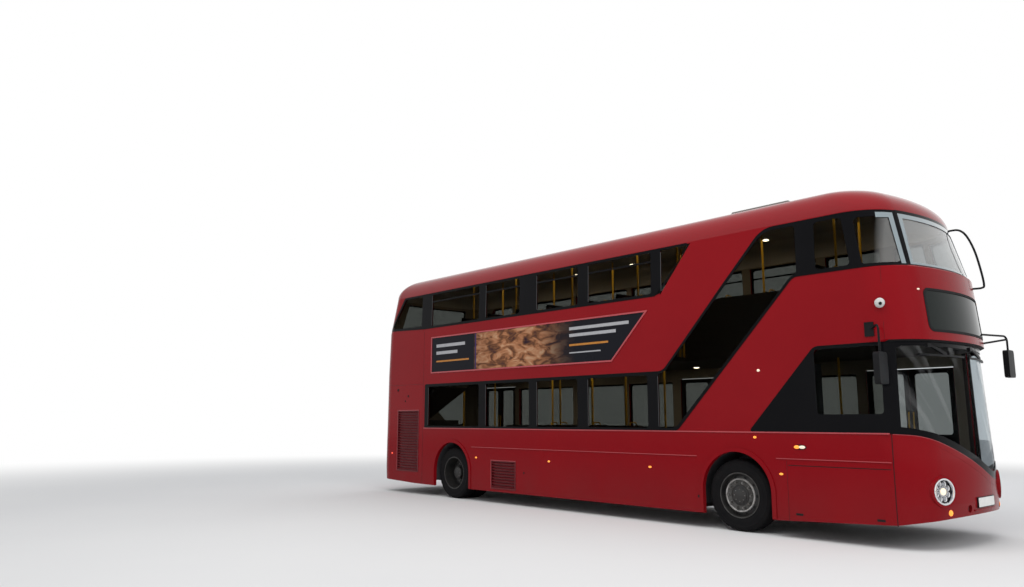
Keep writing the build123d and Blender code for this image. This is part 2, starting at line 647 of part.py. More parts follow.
# Underframe: two long rails with swept-up ends, and cross members just under the lower deck
RAIL_Y = 430
RAIL_HALF = 40
RAIL_LOW = 210
CROSS_LOW = 250
CROSS_END = 1150
CROSS_X = [-4800, -4300, -2400, -1200, 0, 1200, 2300, 3800, 4700]
RAIL_SIDE = [(-5300, 262), (-4300, RAIL_LOW), (4300, RAIL_LOW), (5250, 302), (5250, DECK_UNDER), (-5300, DECK_UNDER)]
with BuildPart() as chassis_frame:
    for side in (-1, 1):
        add(side_prism(RAIL_SIDE, side * RAIL_Y - RAIL_HALF, side * RAIL_Y + RAIL_HALF))
chassis_frame.part.label = "chassis_frame"
export_step(chassis_frame.part, "parts/chassis_frame.step")

# Cross members: each is three pieces that butt against the rails
CROSS_SPANS = [(-CROSS_END, -RAIL_Y - RAIL_HALF), (RAIL_HALF - RAIL_Y, RAIL_Y - RAIL_HALF),
               (RAIL_Y + RAIL_HALF, CROSS_END)]
with BuildPart() as cross_members:
    for x in CROSS_X:
        for y_pair in CROSS_SPANS:
            add(block_between((x - 40, x + 40), y_pair, (CROSS_LOW, DECK_UNDER)))
cross_members.part.label = "cross_members"
export_step(cross_members.part, "parts/cross_members.step")

# Towing socket: a bored tube on a post that stands on the offside rail
TOW_POST = (5240, 5290)
TOW_TUBE = (5280, 5550)
with BuildPart() as tow_tube:
    add(block_between(TOW_POST, (TOW_AT[0] - 45, TOW_AT[0] + 45), (DECK_UNDER, TOW_AT[1] + 45)))
    with BuildSketch(Plane.YZ.offset(TOW_TUBE[0])):
        with Locations(TOW_AT):
            Circle(TOW_OUTER)
    extrude(amount=TOW_TUBE[1] - TOW_TUBE[0])
    with BuildSketch(Plane.YZ.offset(TOW_TUBE[1] - 100)):
        with Locations(TOW_AT):
            Circle(TOW_RADIUS)
    extrude(amount=200, mode=Mode.SUBTRACT)
tow_tube.part.label = "tow_tube"
export_step(tow_tube.part, "parts/tow_tube.step")

# Engine on four feet, with its cooler behind the side grille
ENGINE_FEET = [(-4300, -970), (-4300, -600), (-4800, -970), (-4800, -600)]
with BuildPart() as engine:
    add(block_between((-4880, -4200), (-1040, -520), (DECK_UNDER + 30, 1100)))
    add(block_between((-4800, -4400), (-940, -620), (1100, 1280)))
    add(block_between((-4900, -4180), (-1190, -1120), (480, 1400)))
    for z_low in (560, 1000):
        add(block_between((-4600, -4500), (-1120, -1040), (z_low, z_low + 70)))
    for x, y in ENGINE_FEET:
        add(block_between((x - 40, x + 40), (y - 50, y + 50), (DECK_UNDER, DECK_UNDER + 30)))
engine.part.label = "engine"
export_step(engine.part, "parts/engine.step")

# Front axle: dropped beam with an eye at each end for the steering knuckle
BEAM_Z = 172
EYE_RADIUS = 45
EYE_HALF = 60
PIN_RADIUS = 20
BEAM_ENDS = [
    (KINGPIN_Y, TYRE_RADIUS - 50), (KINGPIN_Y, TYRE_RADIUS + 50), (780, TYRE_RADIUS + 30), (560, BEAM_Z + 30),
]
BEAM_UNDER = [(600, BEAM_Z - 30), (820, TYRE_RADIUS - 50)]
beam_outline = BEAM_UNDER + BEAM_ENDS + [(-y, z) for y, z in reversed(BEAM_ENDS)]
beam_outline += [(-y, z) for y, z in reversed(BEAM_UNDER)]
with BuildPart() as front_axle:
    add(front_prism(beam_outline, FRONT_AXLE - 40, FRONT_AXLE + 40))
    with BuildSketch(Plane.XY.offset(TYRE_RADIUS - EYE_HALF)):
        with Locations((FRONT_AXLE, -KINGPIN_Y), (FRONT_AXLE, KINGPIN_Y)):
            Circle(EYE_RADIUS)
    extrude(amount=EYE_HALF * 2)
    with BuildSketch(Plane.XY.offset(TYRE_RADIUS - EYE_HALF)):
        with Locations((FRONT_AXLE, -KINGPIN_Y), (FRONT_AXLE, KINGPIN_Y)):
            Circle(PIN_RADIUS + RUNNING_GAP)
    extrude(amount=EYE_HALF * 2, mode=Mode.SUBTRACT)
    for side in (-1, 1):
        add(block_between((FRONT_AXLE - 60, FRONT_AXLE + 60),
                          (side * RAIL_Y - RAIL_HALF, side * RAIL_Y + RAIL_HALF), (BEAM_Z + 20, RAIL_LOW)))
front_axle.part.label = "front_axle"
export_step(front_axle.part, "parts/front_axle.step")

# Steering knuckles: fork round the eye, kingpin and stub shaft
STUB_RADIUS = 30
STUB_END = 1120
FORK_FACE = 955
FORK_PLATE = 30
for label, side in (("left_knuckle", 1), ("right_knuckle", -1)):
    with BuildPart() as knuckle:
        with BuildSketch(Plane.XY.offset(TYRE_RADIUS - EYE_HALF - 10)):
            with Locations((FRONT_AXLE, side * KINGPIN_Y)):
                Circle(PIN_RADIUS)
        extrude(amount=EYE_HALF * 2 + 20)
        for z_low in (TYRE_RADIUS - EYE_HALF - 10 - FORK_PLATE, TYRE_RADIUS + EYE_HALF + 10):
            with BuildSketch(Plane.XY.offset(z_low)):
                with Locations((FRONT_AXLE, side * KINGPIN_Y)):
                    Circle(EYE_RADIUS)
                with Locations((FRONT_AXLE, side * (KINGPIN_Y + 45))):
                    Rectangle(80, 90)
            extrude(amount=FORK_PLATE)
        y_pair = sorted((side * FORK_FACE, side * (FORK_FACE + 25)))
        add(block_between((FRONT_AXLE - 55, FRONT_AXLE + 55), y_pair,
                          (TYRE_RADIUS - EYE_HALF - 40, TYRE_RADIUS + EYE_HALF + 40)))
        with BuildSketch(Plane.XZ.offset(-side * FORK_FACE)):
            with Locations((FRONT_AXLE, TYRE_RADIUS)):
                Circle(STUB_RADIUS)
        extrude(amount=-side * (STUB_END - FORK_FACE))
    knuckle.part.label = label
    export_step(knuckle.part, "parts/" + label + ".step")

# Rear axle: drop-centre beam with a spindle at each end
SPINDLE_RADIUS = 55
PORTAL_Y = (575, 608)
with BuildPart() as rear_axle:
    add(front_prism([(-PORTAL_Y[1], 130), (PORTAL_Y[1], 130), (PORTAL_Y[1], 540), (PORTAL_Y[0], 540),
                     (PORTAL_Y[0], 200), (-PORTAL_Y[0], 200), (-PORTAL_Y[0], 540), (-PORTAL_Y[1], 540)],
                    REAR_AXLE - 70, REAR_AXLE + 70))
    for side in (-1, 1):
        add(block_between((REAR_AXLE - 60, REAR_AXLE + 60),
                          (side * RAIL_Y - RAIL_HALF, side * RAIL_Y + RAIL_HALF), (200, RAIL_LOW)))
    for y_start in (-1080, PORTAL_Y[0] + 5):
        with BuildSketch(Plane.XZ.offset(-y_start)):
            with Locations((REAR_AXLE, TYRE_RADIUS)):
                Circle(SPINDLE_RADIUS)
        extrude(amount=-500)
rear_axle.part.label = "rear_axle"
export_step(rear_axle.part, "parts/rear_axle.step")

# Wheel sections: radius, and depth inwards from the wheel's outer face
TYRE_SECTION = [
    (RIM_RADIUS, 12), (TYRE_RADIUS - 75, 0), (TYRE_RADIUS - 14, 16), (TYRE_RADIUS, 42), (TYRE_RADIUS, TYRE_WIDTH - 42),
    (TYRE_RADIUS - 14, TYRE_WIDTH - 16), (TYRE_RADIUS - 75, TYRE_WIDTH), (RIM_RADIUS, TYRE_WIDTH - 12),
]
RIM = 10
# Front rim: the disc bulges outwards over the hub, which is bored for the stub shaft
HUB_DEPTH = TYRE_OUTER - 995
STUB_DEPTH = TYRE_OUTER - STUB_END - 6
FRONT_RIM = [
    (RIM_RADIUS, 8), (RIM_RADIUS, TYRE_WIDTH - 12), (RIM_RADIUS - RIM, TYRE_WIDTH - 12), (RIM_RADIUS - 24, 90),
    (150, 46), (150, HUB_DEPTH), (STUB_RADIUS + RUNNING_GAP, HUB_DEPTH), (STUB_RADIUS + RUNNING_GAP, STUB_DEPTH),
    (0, STUB_DEPTH), (0, 18), (78, 18), (105, 34), (215, 38), (RIM_RADIUS - 26, 62), (RIM_RADIUS - 12, 8),
]
# Rear rim: deep dish outside, with the disc near the middle of the pair
PAIR = TYRE_WIDTH * 2 + TWIN_GAP
REAR_RIM = [
    (RIM_RADIUS, 8), (RIM_RADIUS, PAIR - 12), (RIM_RADIUS - RIM, PAIR - 12), (RIM_RADIUS - 24, 250),
    (150, 245), (150, 400), (SPINDLE_RADIUS + RUNNING_GAP, 400), (SPINDLE_RADIUS + RUNNING_GAP, 114), (0, 114),
    (0, 92), (100, 92), (125, 222), (RIM_RADIUS - 26, 225), (RIM_RADIUS - 12, 8),
]


def turned(section, x_middle, side, outer_y):
    """Solid turned about a wheel's centre line from a section of (radius, depth) points."""
    points = [(side * (outer_y - depth), TYRE_RADIUS + radius) for radius, depth in section]
    with BuildPart() as body:
        with BuildSketch(Plane.YZ.offset(x_middle)):
            with BuildLine():
                Polyline(*points, close=True)
            make_face()
        revolve(axis=Axis((x_middle, 0, TYRE_RADIUS), (0, 1, 0)))
    return body.part


# Wheels: name, axle x, side, rim section, number of tyres
WHEELS = [
    ("front_left", FRONT_AXLE, 1, FRONT_RIM, 1),
    ("front_right", FRONT_AXLE, -1, FRONT_RIM, 1),
    ("rear_left", REAR_AXLE, 1, REAR_RIM, 2),
    ("rear_right", REAR_AXLE, -1, REAR_RIM, 2),
]
for corner, axle_x, side, rim_section, tyre_count in WHEELS:
    with BuildPart() as rim:
        add(turned(rim_section, axle_x, side, TYRE_OUTER))
    rim.part.label = corner + "_wheel"
    export_step(rim.part, "parts/" + corner + "_wheel.step")
    with BuildPart() as tyre:
        for index in range(tyre_count):
            add(turned(TYRE_SECTION, axle_x, side, TYRE_OUTER - index * (TYRE_WIDTH + TWIN_GAP)))
    tyre.part.label = corner + "_tyre"
    export_step(tyre.part, "parts/" + corner + "_tyre.step")

# Door leaves: glazed frames that turn inwards about an upright line at the doorway's edge
LEAF_THICK = 36
LEAF_OUTER = HALF_WIDTH - 6
LEAF_GAP = 10
LEAF_FRAME = 55
LEAF_RAIL_Z = (1180, 1240)
LEAF_Z = (LOWER_DECK + 8, DOOR_HEAD - 12)
for doorway, rear_x, front_x in DOORWAYS:
    middle = (rear_x + front_x) / 2
    for leaf_name, x_from, x_to in (("rear_leaf", rear_x + LEAF_GAP, middle - LEAF_GAP / 2),
                                    ("front_leaf", middle + LEAF_GAP / 2, front_x - LEAF_GAP)):
        label = doorway + "_" + leaf_name
        y_pair = (LEAF_OUTER - LEAF_THICK, LEAF_OUTER)
        glazed_x = (x_from + LEAF_FRAME, x_to - LEAF_FRAME)
        with BuildPart() as leaf:
            add(block_between((x_from, x_to), y_pair, LEAF_Z))
            for z_pair in ((LEAF_Z[0] + LEAF_FRAME, LEAF_RAIL_Z[0]), (LEAF_RAIL_Z[1], LEAF_Z[1] - LEAF_FRAME)):
                add(block_between(glazed_x, y_pair, z_pair), mode=Mode.SUBTRACT)
        leaf.part.label = label
        export_step(leaf.part, "parts/" + label + ".step")

# Lamps in the nose: a bright-rimmed dish in each cowl, and the indicator below it
with BuildPart() as headlamps:
    for side in (-1, 1):
        with BuildSketch(lamp_plane(HEADLAMP, side, -70)):
            Circle(HEADLAMP_RADIUS - 1)
        extrude(amount=95)
        with BuildSketch(lamp_plane(HEADLAMP, side, -30)):
            Circle(HEADLAMP_RADIUS - 22)
        extrude(amount=80, mode=Mode.SUBTRACT)
        with BuildSketch(lamp_plane(HEADLAMP, side, -34)):
            Circle(48)
        extrude(amount=40)
        with BuildSketch(lamp_plane(INDICATOR, side, -46)):
            Circle(INDICATOR_RADIUS - 1)
        extrude(amount=56)
headlamps.part.label = "headlamps"
export_step(headlamps.part, "parts/headlamps.step")

# Lamps on the tail corners follow the skin: y from, y to, z from, z to
LAMP_PROUD = 12
TAIL_LAMPS = [(920, 1080, 640, 1120)]
with BuildPart() as lamp_skin:
    add(body_block(-LAMP_PROUD))
    add(body_block(0), mode=Mode.SUBTRACT)
with BuildPart() as rear_lamps:
    for y_from, y_to, z_from, z_to in TAIL_LAMPS:
        for y_pair in both_sides(y_from, y_to):
            add(lamp_skin.part & front_prism(rectangle(*y_pair, z_from, z_to), -BEYOND, -5000, 70))
rear_lamps.part.label = "rear_lamps"
export_step(rear_lamps.part, "parts/rear_lamps.step")

# Wipers parked at the head of the windscreen: pivot, arm tip, blade from y to y, all in front view
WIPER_LIFT = (4, 26)
WIPERS = [((-857, 2312), (-561, 2231), (-1010, -150)), ((98, 2312), (534, 2235), (10, 930))]
ARM_HALF = 11
BLADE_Z = (2186, 2208)
with BuildPart() as wiper_skin:
    add(body_block(-WIPER_LIFT[1]))
    add(body_block(-WIPER_LIFT[0]), mode=Mode.SUBTRACT)
with BuildPart() as foot_skin:
    add(body_block(-WIPER_LIFT[1]))
    add(body_block(0), mode=Mode.SUBTRACT)
with BuildPart() as wipers:
    for pivot, tip, blade_y in WIPERS:
        arm = [(pivot[0], pivot[1] - ARM_HALF), (tip[0], BLADE_Z[0]), (tip[0] + ARM_HALF, tip[1]),
               (pivot[0], pivot[1] + ARM_HALF)]
        foot = rectangle(pivot[0] - 30, pivot[0] + 30, pivot[1] - 25, pivot[1] + 18)
        add(wiper_skin.part & front_prism(arm, 5000, BEYOND))
        add(wiper_skin.part & front_prism(rectangle(*blade_y, *BLADE_Z), 5000, BEYOND))
        add(foot_skin.part & front_prism(foot, 5000, BEYOND))
wipers.part.label = "wipers"
export_step(wipers.part, "parts/wipers.step")

# Mirrors on bent arms: arm routes, then the head's outline in front view and its x range
ARM_WIDE = 26
HEAD_CORNER = 40
OFFSIDE_HEAD = (rectangle(-1560, -1335, 1850, 2215), (5080, 5150))
NEARSIDE_HEAD = (rectangle(1335, 1560, 2010, 2375), (5535, 5605))
MIRROR_ROUTES = [
    [(4930, -1230, 2500), (5115, -1448, 2545), (5115, -1448, 2180)],
    [(5400, 900, 2565), (5570, 1448, 2565), (5570, 1448, 2340)],
    [(5400, 980, 2445), (5570, 1435, 2520)],
]


def bent_bar(route, bend, profile_width, sides):
    """Bar that follows a route of points with rounded bends."""
    with BuildPart() as bar:
        with BuildLine() as path:
            if len(route) > 2:
                FilletPolyline(*route, radius=bend)
            else:
                Line(*route)
        with BuildSketch(Plane(route[0], z_dir=path.line % 0)):
            RegularPolygon(profile_width / 2, sides)
        sweep(path=path.line)
    return bar.part


with BuildPart() as mirrors:
    for route in MIRROR_ROUTES:
        add(bent_bar(route, 70, ARM_WIDE, POLE_SIDES))
    for outline, x_pair in (OFFSIDE_HEAD, NEARSIDE_HEAD):
        add(front_prism(outline, *x_pair, HEAD_CORNER))
    add(block_between((4875, 4985), (-HALF_WIDTH - 12, -HALF_WIDTH), (2420, 2590)))
    add(body_block(0), mode=Mode.SUBTRACT)
mirrors.part.label = "mirrors"
export_step(mirrors.part, "parts/mirrors.step")

# Bar that keeps branches off the upper front corner on the kerb side
GUARD_ROUTE = [(5000, 980, 4005), (5250, 1050, 4035), (5400, 1050, 3720), (5480, 1050, 3200), (5280, 985, 3190)]
with BuildPart() as branch_guard:
    add(bent_bar(GUARD_ROUTE, 55, 30, POLE_SIDES))
    add(body_block(0), mode=Mode.SUBTRACT)
    add(roof_block(0), mode=Mode.SUBTRACT)
branch_guard.part.label = "branch_guard"
export_step(branch_guard.part, "parts/branch_guard.step")

# Equipment on the roof with sloping sides: x from, x to, half width, height
ROOF_PODS = [(2770, 3740, 760, 95), (60, 1310, 620, 110)]
POD_SLOPE = 45
with BuildPart() as roof_pods:
    for x_from, x_to, half, height in ROOF_PODS:
        x_middle = (x_from + x_to) / 2
        with BuildSketch(Plane.XY.offset(ROOF_CROWN)):
            with Locations((x_middle, 0)):
                Rectangle(x_to - x_from, half * 2)
        with BuildSketch(Plane.XY.offset(ROOF_CROWN + height)):
            with Locations((x_middle, 0)):
                Rectangle(x_to - x_from - POD_SLOPE * 2, half * 2 - POD_SLOPE * 2)
        loft()
roof_pods.part.label = "roof_pods"
export_step(roof_pods.part, "parts/roof_pods.step")
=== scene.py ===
# %% [markdown]
# # A double deck city bus, dressed in Blender
#
# The hard shapes of this bus come from a CAD part: body mouldings, decks, stairs,
# wheels and doors. This lesson dresses them. It gives every CAD node a finish and adds
# what a CAD part leaves out: tread, nuts, glazing borders, cushions, lamps and trim.
#
# Everything is in metres. +X is the front of the bus, +Y its kerb side, +Z up, and the
# origin is on the road at the middle of the bus.

import math

import bmesh
import bpy
from mathutils import Matrix, Vector
from mathutils.bvhtree import BVHTree


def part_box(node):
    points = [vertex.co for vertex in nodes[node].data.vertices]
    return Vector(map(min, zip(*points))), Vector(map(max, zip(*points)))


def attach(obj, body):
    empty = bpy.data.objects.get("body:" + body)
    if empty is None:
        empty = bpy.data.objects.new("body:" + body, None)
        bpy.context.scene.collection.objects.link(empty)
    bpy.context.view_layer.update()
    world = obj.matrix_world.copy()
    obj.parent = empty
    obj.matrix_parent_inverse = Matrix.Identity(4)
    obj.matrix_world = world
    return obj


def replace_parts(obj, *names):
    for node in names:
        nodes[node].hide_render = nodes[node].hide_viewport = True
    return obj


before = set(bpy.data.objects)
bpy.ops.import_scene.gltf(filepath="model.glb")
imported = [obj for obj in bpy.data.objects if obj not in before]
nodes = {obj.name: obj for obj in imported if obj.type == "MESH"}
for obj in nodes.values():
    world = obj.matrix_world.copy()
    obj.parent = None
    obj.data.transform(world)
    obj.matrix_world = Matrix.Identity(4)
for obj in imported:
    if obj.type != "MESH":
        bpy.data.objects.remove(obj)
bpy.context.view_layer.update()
scene = bpy.context.scene

# %% [markdown]
# ## The camera
#
# The camera stands where the photograph was taken, low on the road ahead of the bus, and
# looks back along the driver's side. Its place was fitted from the wheels, the plate and
# the window lines, so pieces can be compared with the photograph directly.

# %% Place the camera
camera = bpy.data.objects.new("camera", bpy.data.cameras.new("camera"))
scene.collection.objects.link(camera)
camera.location = (9.075, -10.643, 1.431)
camera.rotation_euler = (math.radians(99.10), math.radians(-0.06), math.radians(48.11))
camera.data.lens = 27.99
camera.data.sensor_width = 36
scene.camera = camera

# %% [markdown]
# ## Where the skin is
#
# Borders, seals and lamps sit on a skin that bows out at both ends and curves in
# towards the roof. The skin is a stack of plans: two shallow bows joined to straight
# sides by round corners. Knowing that rule, any point of the skin can be worked out,
# so flat drawings can be laid on it like decals.

# %% Describe the skin
# Height, reach of the nose, reach of the tail, half width
LEVELS = [
    (0.205, 5.590, 5.590, 1.260), (0.500, 5.612, 5.612, 1.260), (1.000, 5.598, 5.612, 1.260),
    (2.345, 5.535, 5.600, 1.260), (2.373, 5.597, 5.600, 1.260), (3.245, 5.520, 5.560, 1.260),
    (3.270, 5.485, 5.555, 1.260), (3.985, 5.285, 5.340, 1.245),
]
# Radii of the shallow bow and of the corner
NOSE_CURVES, TAIL_CURVES = (3.0, 0.55), (7.0, 0.35)
FLANK_Y = 1.260
SIDES = {"offside": -1, "nearside": 1}


def skin_parts(z, at_front):
    """Reach, half width, radii, corner centre, and the angle where the corner meets the bow."""
    z = min(max(z, LEVELS[0][0]), LEVELS[-1][0])
    for low, high in zip(LEVELS, LEVELS[1:]):
        if z <= high[0]:
            share = (z - low[0]) / (high[0] - low[0])
            nose, tail, half = [a + (b - a) * share for a, b in zip(low[1:], high[1:])]
            break
    reach, (bow, corner) = (nose, NOSE_CURVES) if at_front else (tail, TAIL_CURVES)
    across = half - corner
    along = reach - bow + math.sqrt((bow - corner) ** 2 - across**2)
    return reach, half, bow, corner, along, across, math.atan2(across, along - reach + bow)


def side_skin(x, z):
    """Distance of the skin from the middle of the bus, seen from the side."""
    reach, half, bow, corner, along, across, turn = skin_parts(z, x > 0)
    x = abs(x)
    if x <= along:
        return half
    if x <= reach - bow + bow * math.cos(turn):
        return across + math.sqrt(max(corner**2 - (x - along) ** 2, 0))
    return math.sqrt(max(bow**2 - (x - reach + bow) ** 2, 0))


def end_skin(y, z, at_front):
    """Reach of the skin from the middle of the bus, seen from the front or the back."""
    reach, half, bow, corner, along, across, turn = skin_parts(z, at_front)
    y = abs(y)
    if y <= bow * math.sin(turn):
        return reach - bow + math.sqrt(bow**2 - y**2)
    return along + math.sqrt(max(corner**2 - (y - across) ** 2, 0))


def skin_point(face, u, z):
    """Point of the skin on a face: u runs along the bus on a side, and across it at an end."""
    if face in SIDES:
        return Vector((u, SIDES[face] * side_skin(u, z), z))
    at_front = face == "front"
    return Vector((end_skin(u, z, at_front) * (1 if at_front else -1), u, z))


def skin_normal(face, u, z, step=0.004):
    """Direction straight out of the skin at a point."""
    along = skin_point(face, u + step, z) - skin_point(face, u - step, z)
    up = skin_point(face, u, z + step) - skin_point(face, u, z - step)
    out = along.cross(up)
    if face in ("nearside", "tail"):
        out.negate()
    return out.normalized()


print("skin at the driver's window:", skin_point("offside", 4.5, 1.8)[:])

# %% [markdown]
# ## Small tools
#
# A finished piece has its place in its mesh and its object at the origin, so patterns
# on Object coordinates stay put. These helpers turn lists of points into such pieces
# and let each one ride on a body of the bus.


# %% Make pieces
def linked(name, data):
    """Object of some data, put in the scene."""
    made = bpy.data.objects.new(name, data)
    scene.collection.objects.link(made)
    return made


def piece_from(name, mesh, key, body="bus_body"):
    """Object of a mesh, with a finish from the table, riding on a body."""
    mesh.name = name
    mesh.materials.clear()
    mesh.materials.append(finishes[key])
    piece = linked(name, mesh)
    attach(piece, body)
    return piece


def mesh_of(shape, smooth_angle=None):
    """Mesh of a bmesh whose faces point outwards."""
    bmesh.ops.remove_doubles(shape, verts=shape.verts, dist=1e-6)
    bmesh.ops.recalc_face_normals(shape, faces=shape.faces)
    mesh = bpy.data.meshes.new("mesh")
    shape.to_mesh(mesh)
    shape.free()
    if smooth_angle is not None:
        mesh.shade_smooth()
        mesh.set_sharp_from_angle(angle=math.radians(smooth_angle))
    return mesh


def plain_mesh(holder):
    """Mesh of an object with its modifiers worked out."""
    bpy.context.view_layer.update()
    return bpy.data.meshes.new_from_object(holder.evaluated_get(bpy.context.evaluated_depsgraph_get()))


def curve_shape(loops, closed, nurbs=False, **settings):
    """Bmesh of a curve through loops of points: filled when it is flat, or a cord with a thickness."""
    curve = bpy.data.curves.new("curve", "CURVE")
    for key, value in settings.items():
        setattr(curve, key, value)
    for loop in loops:
        spline = curve.splines.new("NURBS" if nurbs else "POLY")
        spline.points.add(len(loop) - 1)
        for point, place in zip(spline.points, loop):
            point.co = (*place, 1)
        spline.use_cyclic_u = closed
        if nurbs:
            spline.order_u, spline.use_endpoint_u, spline.resolution_u = 3, True, 6
    holder = linked("curve", curve)
    mesh = plain_mesh(holder)
    bpy.data.objects.remove(holder)
    shape = bmesh.new()
    shape.from_mesh(mesh)
    bpy.data.meshes.remove(mesh)
    return shape


def rounded(points, radii, steps=6):
    """Closed outline with its corners rounded; radii is one number or one for each corner."""
    if isinstance(radii, (int, float)):
        radii = [radii] * len(points)
    result = []
    for index, radius in enumerate(radii):
        here = Vector(points[index])
        if radius <= 0:
            result.append(tuple(here))
            continue
        back = (Vector(points[index - 1]) - here).normalized()
        ahead = (Vector(points[(index + 1) % len(points)]) - here).normalized()
        half_angle = back.angle(ahead) / 2
        centre = here + (back + ahead).normalized() * (radius / math.sin(half_angle))
        start = here + back * (radius / math.tan(half_angle)) - centre
        end = here + ahead * (radius / math.tan(half_angle)) - centre
        for step in range(steps + 1):
            share = step / steps
            result.append(tuple(centre + (start * (1 - share) + end * share).normalized() * radius))
    return result


def box_outline(low_u, high_u, low_z, high_z):
    """Corners of an upright rectangle."""
    return [(low_u, low_z), (high_u, low_z), (high_u, high_z), (low_u, high_z)]


def smooth_line(points, pieces=6):
    """Points of a smooth curve that passes through the given ones, in two or three dimensions."""
    ends = [Vector(point) for point in points]
    ends = [ends[0] * 2 - ends[1], *ends, ends[-1] * 2 - ends[-2]]
    result = []
    for before, here, after, beyond in zip(ends, ends[1:], ends[2:], ends[3:]):
        for step in range(pieces):
            t = step / pieces
            result.append(tuple(here + (after - before) * (t / 2)
                                + (before * 2 - here * 5 + after * 4 - beyond) * (t**2 / 2)
                                + (here * 3 - before - after * 3 + beyond) * (t**3 / 2)))
    return [*result, tuple(points[-1])]


def flat_sheet(outline, holes=(), cuts_u=(), cuts_z=()):
    """Flat filled outline with holes, cut across at given places so that it can be bent later."""
    loops = [[(u, z, 0) for u, z in loop] for loop in (outline, *holes)]
    shape = curve_shape(loops, True, dimensions="2D", fill_mode="BOTH")
    bmesh.ops.remove_doubles(shape, verts=shape.verts, dist=1e-5)
    for places, way in ((cuts_u, Vector((1, 0, 0))), (cuts_z, Vector((0, 1, 0)))):
        for place in places:
            parts = shape.verts[:] + shape.edges[:] + shape.faces[:]
            bmesh.ops.bisect_plane(shape, geom=parts, plane_co=way * place, plane_no=way)
    return shape


def thickened(shape, place_of):
    """Gives a flat sheet its thickness; place_of takes (u, z, whether on the upper face) to a point."""
    top = bmesh.ops.extrude_face_region(shape, geom=shape.faces[:])
    upper = {vert for vert in top["geom"] if isinstance(vert, bmesh.types.BMVert)}
    for vert in shape.verts:
        vert.co = place_of(vert.co.x, vert.co.y, vert in upper)
    return mesh_of(shape, 40)


def steps_between(low, high, step):
    """Evenly spaced places from low to high."""
    count = max(int((high - low) / step), 1)
    return [low + (high - low) * index / count for index in range(count + 1)]


# Where the straight sides end
BEND_FRONT, BEND_TAIL = 4.60, -4.95


def skin_sheet(name, face, outline, key, holes=(), lift=0.002, thick=0.003, fine=None):
    """Thin sheet laid on the skin of one face of the bus, drawn as an outline in that view."""
    low, high = min(u for u, z in outline), max(u for u, z in outline)
    bottom, top = min(z for u, z in outline), max(z for u, z in outline)
    if face in SIDES:
        step = fine or 0.06
        cuts_u = [u for u in (BEND_FRONT, BEND_TAIL) if low < u < high]
        if high > BEND_FRONT:
            cuts_u += steps_between(max(BEND_FRONT, low), high, step)
        if low < BEND_TAIL:
            cuts_u += steps_between(low, min(BEND_TAIL, high), step)
    else:
        cuts_u = steps_between(low, high, fine or 0.05)
    cuts_z = [level[0] for level in LEVELS if bottom < level[0] < top]
    shape = flat_sheet(outline, holes, cuts_u, cuts_z)
    mesh = thickened(shape, lambda u, z, is_upper: skin_point(face, u, z) + skin_normal(face, u, z)
                     * (lift + (thick if is_upper else 0)))
    return piece_from(name, mesh, key)


def joined_up(shape, rings, count):
    """Faces between each ring of vertices and the next, all the way round."""
    for step, here in enumerate(rings):
        there = rings[(step + 1) % len(rings)]
        for index in range(count):
            after = (index + 1) % len(here)
            shape.faces.new((here[index], here[after], there[after], there[index]))


def lathe(profile, segments, centre, axis="Y", closed=True, smooth=35):
    """Mesh turned about an axis through centre, from (radius, distance along the axis) points."""
    shape = bmesh.new()
    rings = []
    for step in range(segments):
        angle = 2 * math.pi * step / segments
        ring = []
        for radius, along in profile:
            a, b = radius * math.cos(angle), radius * math.sin(angle)
            place = (a, along, b) if axis == "Y" else (a, b, along)
            ring.append(shape.verts.new(Vector(place) + Vector(centre)))
        rings.append(ring)
    joined_up(shape, rings, len(profile) if closed else len(profile) - 1)
    return mesh_of(shape, smooth)


def turned(name, profile, segments, centre, key, body="bus_body", matrix=None, **options):
    """Piece turned on the lathe, and carried to its place by a matrix where one is given."""
    mesh = lathe(profile, segments, centre, **options)
    if matrix is not None:
        mesh.transform(matrix)
    return piece_from(name, mesh, key, body)


def block(corner_low, corner_high, bevel=0.0, shape=None):
    """Adds a block with bevelled edges to a bmesh."""
    shape = shape or bmesh.new()
    low, high = Vector(corner_low), Vector(corner_high)
    made = bmesh.ops.create_cube(shape, size=1.0)
    for vert in made["verts"]:
        vert.co = Vector(low[i] + (high[i] - low[i]) * (vert.co[i] + 0.5) for i in range(3))
    edges = {edge for vert in made["verts"] for edge in vert.link_edges}
    bmesh.ops.bevel(shape, geom=list(edges), offset=bevel, segments=2, affect="EDGES")
    return shape


def rod(points, radius, nurbs=False, resolution=4):
    """Mesh of a round bar along points, with its ends closed."""
    return mesh_of(curve_shape([points], False, nurbs, dimensions="3D", bevel_depth=radius,
                               bevel_resolution=resolution, use_fill_caps=True), 40)


# %% [markdown]
# ## Repeating things with Geometry Nodes
#
# Nuts, lamps, ribs and slots repeat. A small node tree puts copies of one item on
# points, turns each copy, joins them all and gives them their finish. The points
# come from a mesh whose vertices carry the places, so a table of numbers is enough.


